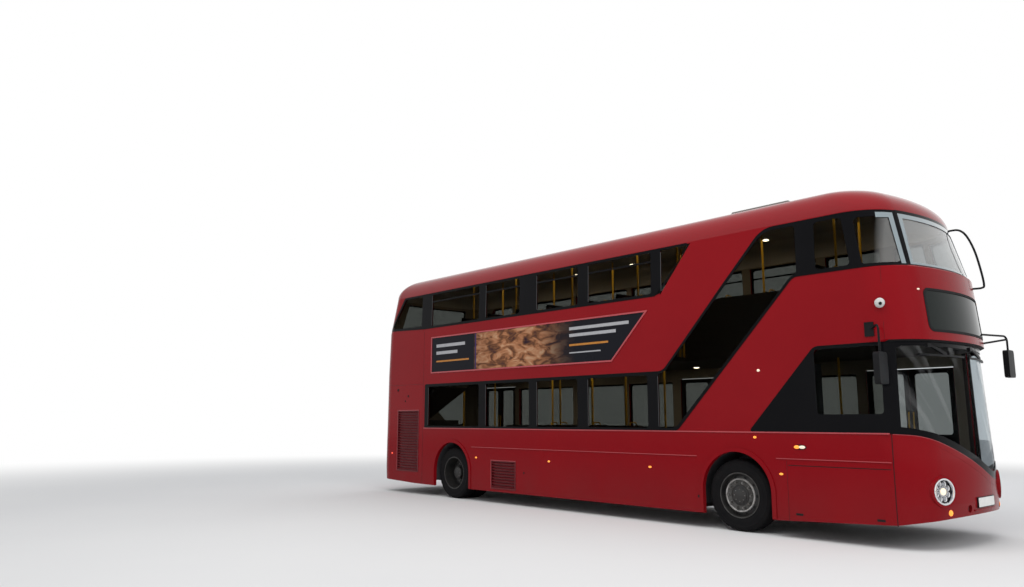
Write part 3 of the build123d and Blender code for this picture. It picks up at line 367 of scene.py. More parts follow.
# %% Build the repeating tree
def repeating_tree():
    """Tree with named inputs: the item, the turn from each copy to the next, and the finish."""
    tree = bpy.data.node_groups.new("repeat an item", "GeometryNodeTree")
    for label, way, kind in (("Geometry", "INPUT", "Geometry"), ("Item", "INPUT", "Object"),
                             ("Turn each", "INPUT", "Vector"), ("Finish", "INPUT", "Material"),
                             ("Geometry", "OUTPUT", "Geometry")):
        tree.interface.new_socket(label, in_out=way, socket_type="NodeSocket" + kind)
    add = tree.nodes.new
    start, end, info = add("NodeGroupInput"), add("NodeGroupOutput"), add("GeometryNodeObjectInfo")
    points, instance = add("GeometryNodeMeshToPoints"), add("GeometryNodeInstanceOnPoints")
    index, turn = add("GeometryNodeInputIndex"), add("ShaderNodeVectorMath")
    turn.operation = "SCALE"
    realize, finish = add("GeometryNodeRealizeInstances"), add("GeometryNodeSetMaterial")
    for source, out, target, into in (
            (start, "Geometry", points, "Mesh"), (points, "Points", instance, "Points"),
            (start, "Item", info, "Object"), (info, "Geometry", instance, "Instance"),
            (start, "Turn each", turn, 0), (index, "Index", turn, "Scale"), (turn, "Vector", instance, "Rotation"),
            (instance, "Instances", realize, "Geometry"), (realize, "Geometry", finish, "Geometry"),
            (start, "Finish", finish, "Material"), (finish, "Geometry", end, "Geometry")):
        tree.links.new(source.outputs[out], target.inputs[into])
    return tree


REPEAT = repeating_tree()


def repeated(name, item_mesh, places, key, body="bus_body", turn_each=(0, 0, 0), after=None, smooth=35):
    """Copies of a small mesh at places, as one piece; after is a matrix that moves the whole set."""
    item = linked("item", item_mesh)
    seeds = bpy.data.meshes.new("places")
    seeds.from_pydata([tuple(place) for place in places], [], [])
    holder = linked("places", seeds)
    modifier = holder.modifiers.new("repeat", "NODES")
    modifier.node_group = REPEAT
    values = {"Item": item, "Turn each": turn_each, "Finish": finishes[key]}
    for socket in REPEAT.interface.items_tree:
        if socket.in_out == "INPUT" and socket.name in values:
            modifier[socket.identifier] = values[socket.name]
    mesh = plain_mesh(holder)
    bpy.data.objects.remove(holder)
    bpy.data.objects.remove(item)
    if after is not None:
        mesh.transform(after)
    mesh.shade_smooth()
    mesh.set_sharp_from_angle(angle=math.radians(smooth))
    return piece_from(name, mesh, key, body)


print("repeating tree inputs:", [s.name for s in REPEAT.interface.items_tree if s.in_out == "INPUT"])

# %% [markdown]
# ## Effects that several finishes share
#
# Real surfaces are never one flat colour. Three groups carry what they have in common:
# a soft cloudiness of colour, road dust that fades upwards from the wheels, and a fine
# grain for moulded plastic and rubber. Each is built once and used with its own values.


# %% Build the shared effects
def node(tree, kind, inputs=None, **settings):
    """Shader node with its settings, and with values or links for its inputs."""
    made = tree.nodes.new(kind)
    for key, value in settings.items():
        setattr(made, key, value)
    for key, value in (inputs or {}).items():
        if isinstance(value, bpy.types.NodeSocket):
            tree.links.new(value, made.inputs[key])
        else:
            made.inputs[key].default_value = value
    return made


def effect(name, inputs, outputs):
    """Empty shader group with named sockets, whose names end in their kind."""
    tree = bpy.data.node_groups.new(name, "ShaderNodeTree")
    for way, sockets in (("INPUT", inputs), ("OUTPUT", outputs)):
        for label, kind in sockets:
            tree.interface.new_socket(label, in_out=way, socket_type="NodeSocket" + kind)
    return tree, tree.nodes.new("NodeGroupInput").outputs, tree.nodes.new("NodeGroupOutput").inputs


def object_place(tree):
    """Place on the object, in metres."""
    return node(tree, "ShaderNodeTexCoord").outputs["Object"]


def axes_of(tree, vector):
    """The three numbers of a vector."""
    return node(tree, "ShaderNodeSeparateXYZ", {"Vector": vector}).outputs


def noise(tree, place, scale, detail, **more):
    """Soft random pattern."""
    inputs = {"Vector": place, "Scale": scale, "Detail": detail, **more}
    return node(tree, "ShaderNodeTexNoise", inputs).outputs["Fac"]


def ranged(tree, value, low, high, to_low=0.0, to_high=1.0, **settings):
    """Value taken from one range to another."""
    return node(tree, "ShaderNodeMapRange", {"Value": value, "From Min": low, "From Max": high, "To Min": to_low,
                                             "To Max": to_high}, **settings).outputs["Result"]


def calc(tree, operation, first, second):
    """One sum on two values."""
    return node(tree, "ShaderNodeMath", {0: first, 1: second}, operation=operation).outputs["Value"]


def vector_calc(tree, operation, first, second=(0.0, 0.0, 0.0), out="Vector"):
    """One sum on two vectors."""
    return node(tree, "ShaderNodeVectorMath", {0: first, 1: second}, operation=operation).outputs[out]


def blend(tree, factor, first, second, kind="RGBA"):
    """Mix of two colours, or of two values."""
    return node(tree, "ShaderNodeMix", {"Factor": factor, "A": first, "B": second}, data_type=kind).outputs["Result"]


def cloudy_effect():
    """Colour that drifts between two tones over the surface."""
    tree, start, end = effect("cloudy colour", [("Colour", "Color"), ("Other colour", "Color"),
                                                ("Patches per metre", "Float"), ("Strength", "Float")],
                              [("Colour", "Color"), ("Cloud", "Float")])
    cloud = noise(tree, object_place(tree), start["Patches per metre"], 5.0)
    spread = ranged(tree, cloud, 0.3, 0.7, 0.0, start["Strength"])
    tree.links.new(blend(tree, spread, start["Colour"], start["Other colour"]), end["Colour"])
    tree.links.new(spread, end["Cloud"])
    return tree


def dust_effect():
    """Road dust: full below one height, gone above another, with ragged edges and run marks."""
    tree, start, end = effect("road dust", [("Colour", "Color"), ("Dust colour", "Color"), ("Full below", "Float"),
                                            ("Gone above", "Float"), ("Amount", "Float")],
                              [("Colour", "Color"), ("Dust", "Float")])
    place = object_place(tree)
    fade = ranged(tree, axes_of(tree, place)["Z"], start["Gone above"], start["Full below"])
    stretch = node(tree, "ShaderNodeMapping", {"Vector": place, "Scale": (1.6, 1.6, 1.0)}).outputs["Vector"]
    ragged = ranged(tree, noise(tree, stretch, 1.5, 3.0), 0.1, 0.8)
    amount = calc(tree, "MULTIPLY", calc(tree, "MULTIPLY", fade, ragged), start["Amount"])
    tree.links.new(blend(tree, amount, start["Colour"], start["Dust colour"]), end["Colour"])
    tree.links.new(amount, end["Dust"])
    return tree


def grain_effect():
    """Fine pebble height for moulded plastic, rubber and worn metal."""
    tree, start, end = effect("fine grain", [("Grains per metre", "Float")], [("Height", "Float")])
    tree.links.new(noise(tree, object_place(tree), start["Grains per metre"], 3.0), end["Height"])
    return tree


CLOUDY, DUST, GRAIN = cloudy_effect(), dust_effect(), grain_effect()
DUST_COLOUR = (0.07, 0.045, 0.04, 1)


def new_material(name):
    """Material, its tree and its shader."""
    material = bpy.data.materials.new(name)
    material.use_nodes = True
    return material, material.node_tree, material.node_tree.nodes["Principled BSDF"]


def cloudy(tree, colour, other, patches, strength):
    """The cloudy effect, placed in a material."""
    return node(tree, "ShaderNodeGroup", {"Colour": colour, "Other colour": other, "Patches per metre": patches,
                                          "Strength": strength}, node_tree=CLOUDY).outputs


def finish_of(name, colour, other=None, roughness=0.4, patches=2.0, strength=0.5, metallic=0.0, coat=0.0, dust=None,
              grain=None, spread=0.08, glow=None, shine=0.25):
    """Material made of a cloudy colour, and dust and grain where they are wanted."""
    material, tree, shader = new_material(name)
    other = other or [channel * 0.75 for channel in colour]
    base = cloudy(tree, (*colour, 1), (*other, 1), patches, strength)
    shown = base["Colour"]
    rough = ranged(tree, base["Cloud"], 0.0, 1.0, max(roughness - spread, 0.02), min(roughness + spread, 1.0))
    if dust:
        full, gone, amount = dust
        dusty = node(tree, "ShaderNodeGroup", {"Colour": shown, "Dust colour": DUST_COLOUR, "Full below": full,
                                               "Gone above": gone, "Amount": amount}, node_tree=DUST).outputs
        shown = dusty["Colour"]
        rough = blend(tree, dusty["Dust"], rough, 0.8, "FLOAT")
    tree.links.new(shown, shader.inputs["Base Color"])
    tree.links.new(rough, shader.inputs["Roughness"])
    shader.inputs["Metallic"].default_value = metallic
    shader.inputs["Specular IOR Level"].default_value = 0.5 if metallic else shine
    shader.inputs["Coat Weight"].default_value = coat
    shader.inputs["Coat Roughness"].default_value = 0.06
    if grain:
        per_metre, depth = grain
        pebble = node(tree, "ShaderNodeGroup", {"Grains per metre": per_metre}, node_tree=GRAIN).outputs["Height"]
        bump = node(tree, "ShaderNodeBump", {"Height": pebble, "Distance": depth, "Strength": 0.6})
        tree.links.new(bump.outputs["Normal"], shader.inputs["Normal"])
    if glow:
        glow_colour, power = glow
        shader.inputs["Emission Color"].default_value = (*glow_colour, 1)
        shader.inputs["Emission Strength"].default_value = power
    return material


def glass_of(name, colour, streaks):
    """Clear or tinted pane: light passes through and picks up the tint, and a clear coat mirrors the sky.

    The coat is full on the upper front glass, and elsewhere it comes only in streaks of old rain."""
    material, tree, shader = new_material(name)
    shade = cloudy(tree, (*colour, 1), (*[channel * 0.9 for channel in colour], 1), 1.5, 0.6)
    tree.links.new(shade["Colour"], shader.inputs["Base Color"])
    for label, value in (("Roughness", 0.0), ("Transmission Weight", 1.0), ("IOR", 1.02), ("Coat IOR", 2.2),
                         ("Coat Roughness", 0.01)):
        shader.inputs[label].default_value = value
    place = object_place(tree)
    ahead = ranged(tree, axes_of(tree, place)["X"], 5.02, 5.12)
    above = ranged(tree, axes_of(tree, place)["Z"], 3.15, 3.20)
    slant = node(tree, "ShaderNodeMapping", {"Vector": place, "Rotation": (0.45, 0.0, 0.0),
                                             "Scale": (1.0, 0.16, 2.4)}, vector_type="TEXTURE").outputs["Vector"]
    low = ranged(tree, noise(tree, slant, 0.9, 3.0), 0.50, 0.78, 0.0, streaks)
    coat = blend(tree, calc(tree, "MULTIPLY", ahead, above), low, 1.0, "FLOAT")
    tree.links.new(coat, shader.inputs["Coat Weight"])
    return material


# %% [markdown]
# ## The finishes
#
# The bus is mostly deep red gloss under a clear coat, with black glazing borders that
# make the windows read as one long swoosh. Below are rubber, dark road-grimed steel,
# and inside a pale lining, dark decks and bright yellow rails.

# %% Mix the finishes
RED, DEEP_RED = (0.245, 0.003, 0.007), (0.195, 0.002, 0.006)
PAINT_LOOK = {"roughness": 0.2, "patches": 0.8, "strength": 0.5, "dust": (0.15, 0.9, 0.2), "shine": 0.08}
# Where the middle of the lined part is along the bus, and which ways its wall faces
LININGS = {"side": (0.0, (0.0, 1.0, 0.0)), "end": (4.6, (1.0, 1.0, 0.0)), "tail": (-4.6, (1.0, 1.0, 0.0))}


def lined_paint(name, lining, inside, coat=0.05):
    """Red gloss outside and a lining inside, told apart by which way the surface faces."""
    material = finish_of(name, RED, DEEP_RED, coat=coat, **PAINT_LOOK)
    tree = material.node_tree
    base_colour = tree.nodes["Principled BSDF"].inputs["Base Color"]
    shown = base_colour.links[0].from_socket
    normal = node(tree, "ShaderNodeNewGeometry").outputs["True Normal"]
    facing = node(tree, "ShaderNodeVectorTransform", {"Vector": normal}, vector_type="NORMAL", convert_from="WORLD",
                  convert_to="OBJECT").outputs["Vector"]
    if inside == "roof":
        mask = calc(tree, "LESS_THAN", axes_of(tree, facing)["Z"], -0.02)
    else:
        middle, ways = LININGS[inside]
        arm = vector_calc(tree, "SUBTRACT", object_place(tree), (middle, 0.0, 0.0))
        outward = vector_calc(tree, "MULTIPLY", arm, ways)
        mask = calc(tree, "LESS_THAN", vector_calc(tree, "DOT_PRODUCT", facing, outward, "Value"), -0.35)
    tree.links.new(blend(tree, mask, shown, (*lining, 1)), base_colour)
    return material


def ramp(tree, factor, stops):
    """Colour ramp through (position, colour) stops."""
    made = node(tree, "ShaderNodeValToRGB", {"Fac": factor})
    while len(made.color_ramp.elements) < len(stops):
        made.color_ramp.elements.new(0.5)
    for element, (position, tone) in zip(made.color_ramp.elements, stops):
        element.position = position
        element.color = (*tone, 1)
    return made.outputs["Color"]


def poster_finish():
    """Poster with plain bands: dark at both ends, and warm drifting colour between them."""
    material = finish_of("side poster", (0.01, 0.01, 0.013), roughness=0.35, shine=0.06)
    tree = material.node_tree
    place = object_place(tree)
    # Share of the board's length, and the strength of the warm colour there
    along = ranged(tree, axes_of(tree, place)["X"], -3.8, 1.7)
    zones = ramp(tree, along, [(share, (level,) * 3) for share, level in (
        (0.0, 0.0), (0.245, 0.0), (0.262, 0.75), (0.40, 1.0), (0.56, 0.85), (0.66, 0.12), (0.72, 0.0))])
    stretch = node(tree, "ShaderNodeMapping", {"Vector": place, "Scale": (1.2, 1.2, 3.2), "Rotation": (0.0, 0.5, 0.0)})
    drift = noise(tree, stretch.outputs["Vector"], 2.6, 6.0, Distortion=1.0)
    warm = ramp(tree, drift, [(0.30, (0.030, 0.014, 0.022)), (0.45, (0.16, 0.065, 0.030)),
                              (0.55, (0.42, 0.18, 0.085)), (0.68, (0.56, 0.34, 0.20))])
    shown = blend(tree, zones, (0.010, 0.010, 0.014, 1), warm)
    tree.links.new(shown, tree.nodes["Principled BSDF"].inputs["Base Color"])
    return material


def woven_finish(name, ground, figure, accent, checks):
    """Woven seat cloth: small checks on the pad's own UV map, with a raised thread pattern."""
    material, tree, shader = new_material(name)
    uv = node(tree, "ShaderNodeUVMap", uv_map="UVMap").outputs["UV"]
    squares = node(tree, "ShaderNodeTexChecker", {"Vector": uv, "Scale": checks, "Color1": (*ground, 1),
                                                  "Color2": (*figure, 1)}).outputs["Color"]
    spots = node(tree, "ShaderNodeTexVoronoi", {"Vector": uv, "Scale": checks * 0.7}).outputs["Distance"]
    shown = blend(tree, calc(tree, "LESS_THAN", spots, 0.16), squares, (*accent, 1))
    worn = cloudy(tree, shown, (*ground, 1), 6.0, 0.35)
    tree.links.new(worn["Colour"], shader.inputs["Base Color"])
    threads = [node(tree, "ShaderNodeTexWave", {"Vector": uv, "Scale": 110.0}, bands_direction=way).outputs["Fac"]
               for way in ("X", "Y")]
    bump = node(tree, "ShaderNodeBump", {"Height": calc(tree, "MULTIPLY", *threads), "Distance": 0.0008,
                                         "Strength": 0.5})
    tree.links.new(bump.outputs["Normal"], shader.inputs["Normal"])
    shader.inputs["Roughness"].default_value = 0.9
    shader.inputs["Sheen Weight"].default_value = 0.25
    return material


# Most rows: name, colour, other colour, roughness, patches per metre, strength of the patches, metal
finishes = {
    "moquette": woven_finish("woven seat cloth", (0.022, 0.020, 0.024), (0.075, 0.014, 0.018),
                             (0.16, 0.12, 0.09), 40.0),
    "driver_cloth": woven_finish("driver's seat cloth", (0.020, 0.021, 0.024), (0.034, 0.035, 0.040),
                                 (0.05, 0.05, 0.055), 60.0),
    "piping": finish_of("dark red piping", (0.10, 0.012, 0.016), (0.07, 0.010, 0.012), 0.6, 20.0,
                        grain=(1200.0, 0.0002)),
    "seat_shell": finish_of("moulded seat shell", (0.055, 0.050, 0.048), (0.075, 0.068, 0.064), 0.5, 5.0,
                            grain=(900.0, 0.0003)),
    "nosing": finish_of("pale stair edge", (0.60, 0.52, 0.22), (0.42, 0.36, 0.16), 0.6, 14.0, 0.8),
    # Grey for the thin lines at the rear edge of each offside pane: a painted highlight
    "bar": finish_of("grey window bar", (0.055, 0.056, 0.058), (0.085, 0.086, 0.09), 0.4, 6.0, 0.5, 0.4),
    "paint": finish_of("deep red gloss", RED, DEEP_RED, coat=0.05, **PAINT_LOOK),
    # Lighter red for the side mouldings and thin edge lines: a painted highlight of the sky on them
    "paint_edge": finish_of("polished red edge", (0.44, 0.06, 0.07), (0.34, 0.04, 0.05), 0.25, coat=0.3),
    # Darker red for the grille slats and the sheets behind them: painted shade within the grille
    "grille": finish_of("dull grille red", (0.13, 0.006, 0.010), (0.09, 0.008, 0.010), 0.5, 6.0),
    # Opaque pale glass over the edges of the upper front panes: a painted reflection of the sky
    "pale_glaze": finish_of("pale bonded glass", (0.22, 0.27, 0.29), (0.19, 0.23, 0.25), 0.06, 1.5, coat=1.0),
    "paint_side": lined_paint("deep red gloss, lined sides", (0.30, 0.26, 0.21), "side"),
    "paint_door": lined_paint("deep red gloss, dark inside", (0.020, 0.020, 0.022), "side"),
    "paint_front": lined_paint("deep red gloss, lined front", (0.05, 0.05, 0.052), "end"),
    "paint_tail": lined_paint("deep red gloss, lined tail", (0.30, 0.26, 0.21), "tail"),
    "paint_roof": lined_paint("deep red gloss, lined roof", (0.50, 0.46, 0.40), "roof", 0.5),
    "border": finish_of("black glazing border", (0.003, 0.003, 0.004), (0.006, 0.006, 0.007), 0.12, 1.5, shine=0.06),
    "side_glass": glass_of("tinted side glass", (0.22, 0.23, 0.22), 0.0),
    "front_glass": glass_of("clear front glass", (0.62, 0.66, 0.68), 0.6),
    "display": finish_of("dark display glass", (0.005, 0.009, 0.008), (0.009, 0.013, 0.011), 0.06, coat=0.05,
                         shine=0.1),
    "rubber": finish_of("black rubber", (0.010, 0.010, 0.011), (0.016, 0.015, 0.015), 0.75, 6.0,
                        grain=(900.0, 0.0004), shine=0.15),
    "tyre": finish_of("worn tyre rubber", (0.006, 0.006, 0.007), (0.013, 0.012, 0.012), 0.8, 7.0, 0.7,
                      grain=(700.0, 0.0006), shine=0.08),
    "rim": finish_of("dark grimed rim", (0.020, 0.020, 0.021), (0.042, 0.039, 0.035), 0.5, 9.0, 0.8, 0.35,
                     grain=(260.0, 0.0005)),
    "chrome": finish_of("bright chrome", (0.78, 0.78, 0.79), (0.60, 0.60, 0.62), 0.1, 6.0, 0.3, 1.0),
    "steel": finish_of("dark chassis steel", (0.020, 0.019, 0.019), (0.045, 0.038, 0.031), 0.65, 5.0, 0.8, 0.3,
                       grain=(300.0, 0.0006)),
    "iron": finish_of("oily cast iron", (0.05, 0.05, 0.052), (0.09, 0.075, 0.06), 0.55, 7.0, 0.5, 0.5,
                      grain=(240.0, 0.0008)),
    "plastic": finish_of("black moulded plastic", (0.008, 0.008, 0.009), (0.015, 0.015, 0.016), 0.45, 5.0,
                         grain=(800.0, 0.0003), shine=0.1),
    "cab": finish_of("grey cab plastic", (0.045, 0.046, 0.05), (0.06, 0.06, 0.063), 0.6, 4.0, grain=(700.0, 0.0004)),
    "deck": finish_of("dark deck covering", (0.075, 0.062, 0.056), (0.11, 0.092, 0.082), 0.7, 30.0, 0.8,
                      grain=(500.0, 0.0004)),
    "stair": finish_of("stair covering", (0.085, 0.070, 0.062), (0.12, 0.10, 0.09), 0.7, 30.0, 0.8,
                       grain=(500.0, 0.0004)),
    "rail": finish_of("yellow rail", (0.80, 0.46, 0.03), (0.66, 0.36, 0.02), 0.35, 9.0, coat=0.2),
    "pod": finish_of("grey roof unit", (0.13, 0.115, 0.11), (0.17, 0.155, 0.145), 0.55, 4.0, 0.7),
    "white": finish_of("pale roof unit", (0.62, 0.62, 0.61), (0.50, 0.50, 0.48), 0.5, 3.0),
    "amber": finish_of("lit amber lens", (0.90, 0.28, 0.03), (0.95, 0.42, 0.08), 0.2, 60.0,
                       glow=((1.0, 0.30, 0.05), 1.0)),
    "lit_white": finish_of("lit white lens", (0.70, 0.62, 0.52), (0.6, 0.52, 0.42), 0.2, 60.0,
                           glow=((1.0, 0.80, 0.60), 0.5)),
    "warm_lamp": finish_of("warm ceiling lamp", (0.95, 0.85, 0.65), (0.9, 0.8, 0.6), 0.4, 20.0,
                           glow=((1.0, 0.82, 0.58), 16.0)),
    "seam": finish_of("dark seam", (0.020, 0.002, 0.003), (0.035, 0.004, 0.005), 0.7, 8.0),
    "ring": finish_of("scuffed wheel ring", (0.46, 0.45, 0.44), (0.20, 0.19, 0.18), 0.35, 9.0, 1.0, 0.85,
                      grain=(400.0, 0.0004)),
    "bright_dull": finish_of("dulled steel", (0.22, 0.215, 0.21), (0.07, 0.066, 0.06), 0.45, 14.0, 1.0, 0.8),
    "rim_edge": finish_of("worn rim edge", (0.085, 0.083, 0.08), (0.035, 0.033, 0.031), 0.45, 14.0, 0.9, 0.6),
    "led_lens": finish_of("small lamp lens", (0.42, 0.43, 0.45), (0.25, 0.26, 0.28), 0.15, 70.0, 0.5, 0.3),
    "lamp_dark": finish_of("dark lamp bowl", (0.02, 0.02, 0.024), (0.04, 0.04, 0.045), 0.3, 40.0),
    "beam": finish_of("bright headlamp beam", (0.75, 0.62, 0.45), (0.65, 0.50, 0.32), 0.2, 50.0,
                      glow=((1.0, 0.80, 0.55), 0.9)),
    "tail_lit": finish_of("lit red lens", (0.60, 0.03, 0.02), (0.75, 0.06, 0.03), 0.15, 60.0,
                          glow=((1.0, 0.12, 0.06), 0.9)),
    "amber_off": finish_of("amber lens", (0.65, 0.18, 0.01), (0.8, 0.26, 0.02), 0.12, 60.0, coat=0.4),
    "mirror": finish_of("mirror glass", (0.80, 0.81, 0.82), (0.72, 0.73, 0.75), 0.02, 3.0, 0.3, 1.0, spread=0.0),
    "plate_front": finish_of("pale plate sheet", (0.86, 0.86, 0.83), (0.76, 0.75, 0.72), 0.4, 12.0),
    "plate_rear": finish_of("yellow plate sheet", (0.72, 0.50, 0.04), (0.58, 0.39, 0.03), 0.4, 12.0),
    "poster": poster_finish(),
    "violet": finish_of("violet print", (0.05, 0.03, 0.13), (0.03, 0.02, 0.09), 0.35, shine=0.06),
    "print_pale": finish_of("pale print", (0.42, 0.42, 0.44), (0.28, 0.28, 0.30), 0.35, 40.0),
    "print_orange": finish_of("orange print", (0.50, 0.20, 0.03), (0.38, 0.14, 0.02), 0.35, 40.0),
    "tail_red": finish_of("red tail lens", (0.30, 0.006, 0.006), (0.42, 0.01, 0.01), 0.12, 50.0, coat=0.4,
                          glow=((1.0, 0.03, 0.02), 0.12)),
}
print("finishes mixed:", len(finishes))

# %% [markdown]
# ## Finishing the CAD nodes
#
# The CAD nodes already have the right shape, so each only needs its finish. The body
# mouldings are one solid wall, painted outside and lined inside; the paint's material
# tells the two apart by which way the surface faces.

# %% Give every CAD node its finish
CAD_FINISHES = {
    "paint_front": "front_nose front_band", "paint_side": "offside_side nearside_side",
    "paint_tail": "rear_lower_body rear_upper_body", "paint_roof": "roof", "paint": "engine_lid",
    "side_glass": "offside_glass nearside_glass rear_glass", "front_glass": "front_glass",
    "display": "destination_glass", "deck": "lower_floor upper_floor", "stair": "front_stair rear_stair",
    "cab": "lower_seats upper_seats driver_seat cab steering_wheel wheel_box_arches wheel_box_walls engine_bay",
    # The side grilles take a darker red, painted shade between their louvres, and the side mouldings a lighter red, a
    # painted highlight
    "rail": "handrails", "iron": "engine", "pod": "roof_pods", "grille": "side_grilles",
    "steel": "chassis_frame front_axle rear_axle left_knuckle right_knuckle cross_members tow_tube",
    "plastic": "mirrors plate_carriers wipers branch_guard", "paint_edge": "side_mouldings",
    "chrome": "headlamps", "tail_red": "rear_lamps",
}
NODE_FINISH = {label: key for key, labels in CAD_FINISHES.items() for label in labels.split()}
for label, node_object in nodes.items():
    kind = {"wheel": "rim", "tyre": "tyre"}.get(label.split("_")[-1], "paint_door")
    if label in NODE_FINISH:
        kind = NODE_FINISH[label]
    node_object.data.materials.clear()
    node_object.data.materials.append(finishes[kind])
print("finished nodes:", len(nodes))

# %% [markdown]
# ## Glazing borders
#
# The panes of such a bus are bonded on, and their edges are printed black, so windows
# that are really separate read as one dark swoosh up the stair. The borders could be
# painted by a material, but their edges are crisp, so they are thin sheets with a hole
# for each clear pane, bent over the skin.


# %% Draw the borders
def inset(points, distance):
    """Sharp outline moved inwards; its points run anticlockwise."""
    result = []
    for index in range(len(points)):
        before, here = Vector(points[index - 1]), Vector(points[index])
        after = Vector(points[(index + 1) % len(points)])
        first, second = (here - before).normalized(), (after - here).normalized()
        first_in, second_in = Vector((-first.y, first.x)), Vector((-second.y, second.x))
        turn = first.cross(second)
        a, b = here + first_in * distance, here + second_in * distance
        result.append(tuple(a if abs(turn) < 1e-4 else a + first * ((b - a).cross(second) / turn)))
    return result


def clear_pane(points, radii=0, distance=0.03, least=0.045):
    """Clear part of a pane: its opening drawn in, with the corners rounded."""
    if isinstance(radii, (int, float)):
        radii = [radii] * len(points)
    rounds = []
    for index, radius in enumerate(radii):
        before, here, after = (Vector(points[(index + step) % len(points)]) for step in (-1, 0, 1))
        outer = (here - before).cross(after - here) > 0
        rounds.append(max(radius - distance, least) if outer else max(radius, least) + distance)
    return rounded(inset(points, distance), rounds)


LOWER_Z, UPPER_Z = (1.305, 2.130), (3.277, 3.965)
FRONT_SIDE = [(4.281, 3.277), (4.788, 3.277), (4.690, 3.945), (4.281, 3.945)]
CORNER_PANE = [(4.880, 3.275), (5.302, 3.275), (5.158, 3.905), (4.780, 3.905)]
QUARTER_PANE = [(-5.254, 3.329), (-4.110, 3.308), (-4.110, 3.960), (-4.745, 3.960)]
STAIR_PANE = [(1.780, 1.310), (2.113, 1.310), (4.004, 3.262), (4.081, 3.262), (4.081, 3.955), (3.583, 3.955),
              (1.892, 2.145), (1.780, 2.145)]
TIP_PANE = [(1.880, 3.277), (1.895, 3.277), (2.440, 3.965), (1.880, 3.965)]
TRIM = 0.022


def row_of_panes(heights, *spans):
    """Clear panes of one height, each from one place along the bus to another."""
    return [clear_pane(box_outline(low, high, *heights)) for low, high in spans]


LOW_SPANS = [(-3.900, -2.270), (-2.140, -0.920), (-0.795, 0.222)]
front_holes = [clear_pane(FRONT_SIDE), clear_pane(CORNER_PANE, distance=0.02)]
quarter_hole = clear_pane(QUARTER_PANE, distance=TRIM)

offside_swoosh = rounded(
    [(-3.985, 1.285), (2.113, 1.285), (4.004, 3.255), (5.325, 3.255), (5.165, 3.975), (3.583, 3.975), (1.892, 2.152),
     (-3.985, 2.152)], [0.03, 0.2, 0.15, 0.005, 0.01, 0.4, 0.2, 0.03])
stair_hole = clear_pane(STAIR_PANE, [0, 0.2, 0.15, 0, 0, 0.38, 0.2, 0])
skin_sheet("offside_lower_border", "offside", offside_swoosh, "border",
           [*row_of_panes(LOWER_Z, *LOW_SPANS, (0.382, 1.640)), stair_hole, *front_holes], fine=0.035)

offside_upper = [(-5.295, 3.312), (-4.060, 3.262), (1.790, 3.262), (2.455, 3.978), (-4.770, 3.978)]
upper_holes = row_of_panes(UPPER_Z, (-3.830, -2.286), (-2.152, -1.162), (-0.791, 0.245), (0.414, 1.751))
upper_holes += [clear_pane(TIP_PANE, distance=TRIM, least=0.012), quarter_hole]
skin_sheet("offside_upper_border", "offside", rounded(offside_upper, [0.03, 0.3, 0.04, 0.04, 0.06]), "border",
           upper_holes, fine=0.035)

driver_outline = rounded([(3.255, 1.288), (5.120, 1.288), (5.120, 2.352), (4.225, 2.352)], [0.03, 0, 0, 0.14])
driver_hole = clear_pane([(4.200, 1.490), (5.055, 1.490), (5.055, 2.335), (4.200, 2.335)], distance=0.025)
skin_sheet("driver_window_border", "offside", driver_outline, "border", [driver_hole], fine=0.035)

skin_sheet("nearside_lower_border", "nearside", rounded(box_outline(-3.985, 0.330, 1.285, 2.152), 0.03), "border",
           row_of_panes(LOWER_Z, *LOW_SPANS))
skin_sheet("nearside_middle_border", "nearside", rounded(box_outline(1.755, 3.672, 1.285, 2.152), 0.03), "border",
           row_of_panes(LOWER_Z, (1.860, 3.600)))
nearside_upper = [(-5.295, 3.312), (-4.060, 3.262), (5.325, 3.255), (5.165, 3.978), (-4.770, 3.978)]
upper_holes = row_of_panes(UPPER_Z, (-3.830, -2.286), (-2.152, -0.795), (-0.670, 0.245), (0.414, 1.751),
                           (1.902, 3.080), (3.230, 4.081))
skin_sheet("nearside_upper_border", "nearside", rounded(nearside_upper, [0.03, 0.3, 0.005, 0.01, 0.06]), "border",
           [*upper_holes, *front_holes, quarter_hole], fine=0.035)

# At the upper front the glass runs on over its own edge, to a thin joint at each corner; its pale tone there is a
# painted reflection of the sky
upper_front = [(-0.972, 3.262), (0.972, 3.262), (0.865, 3.984), (-0.865, 3.984)]
glaze_outline = [(-0.936, 3.274), (0.936, 3.274), (0.838, 3.940), (-0.838, 3.940)]
upper_front_hole = clear_pane([(-0.915, 3.280), (0.915, 3.280), (0.800, 3.900), (-0.800, 3.900)], distance=0.02,
                              least=0.02)
skin_sheet("upper_front_border", "front", upper_front, "border", [glaze_outline], lift=0.0015)
skin_sheet("upper_front_glaze", "front", glaze_outline, "pale_glaze", [upper_front_hole], lift=0.0015)
corner_glaze = [(5.268, 3.278), (5.300, 3.278), (5.150, 3.940), (5.022, 3.940), (5.032, 3.872), (5.134, 3.872)]
for word in SIDES:
    skin_sheet("corner_glaze_" + word, word, corner_glaze, "pale_glaze", lift=0.0060, thick=0.0006, fine=0.014)

# The windscreen's lower edge sweeps down to the kerb side, and goes round the lamp there
SWEEP = smooth_line([(-1.232, 1.288), (-1.074, 1.264), (-0.796, 1.178), (-0.426, 1.043), (-0.106, 0.920),
                     (0.150, 0.826), (0.378, 0.754), (0.600, 0.712)])
OPENING = smooth_line([(-1.232, 1.268), (-1.120, 1.230), (-0.820, 1.120), (-0.370, 0.940), (-0.024, 0.805),
                       (0.310, 0.690), (0.600, 0.640)])
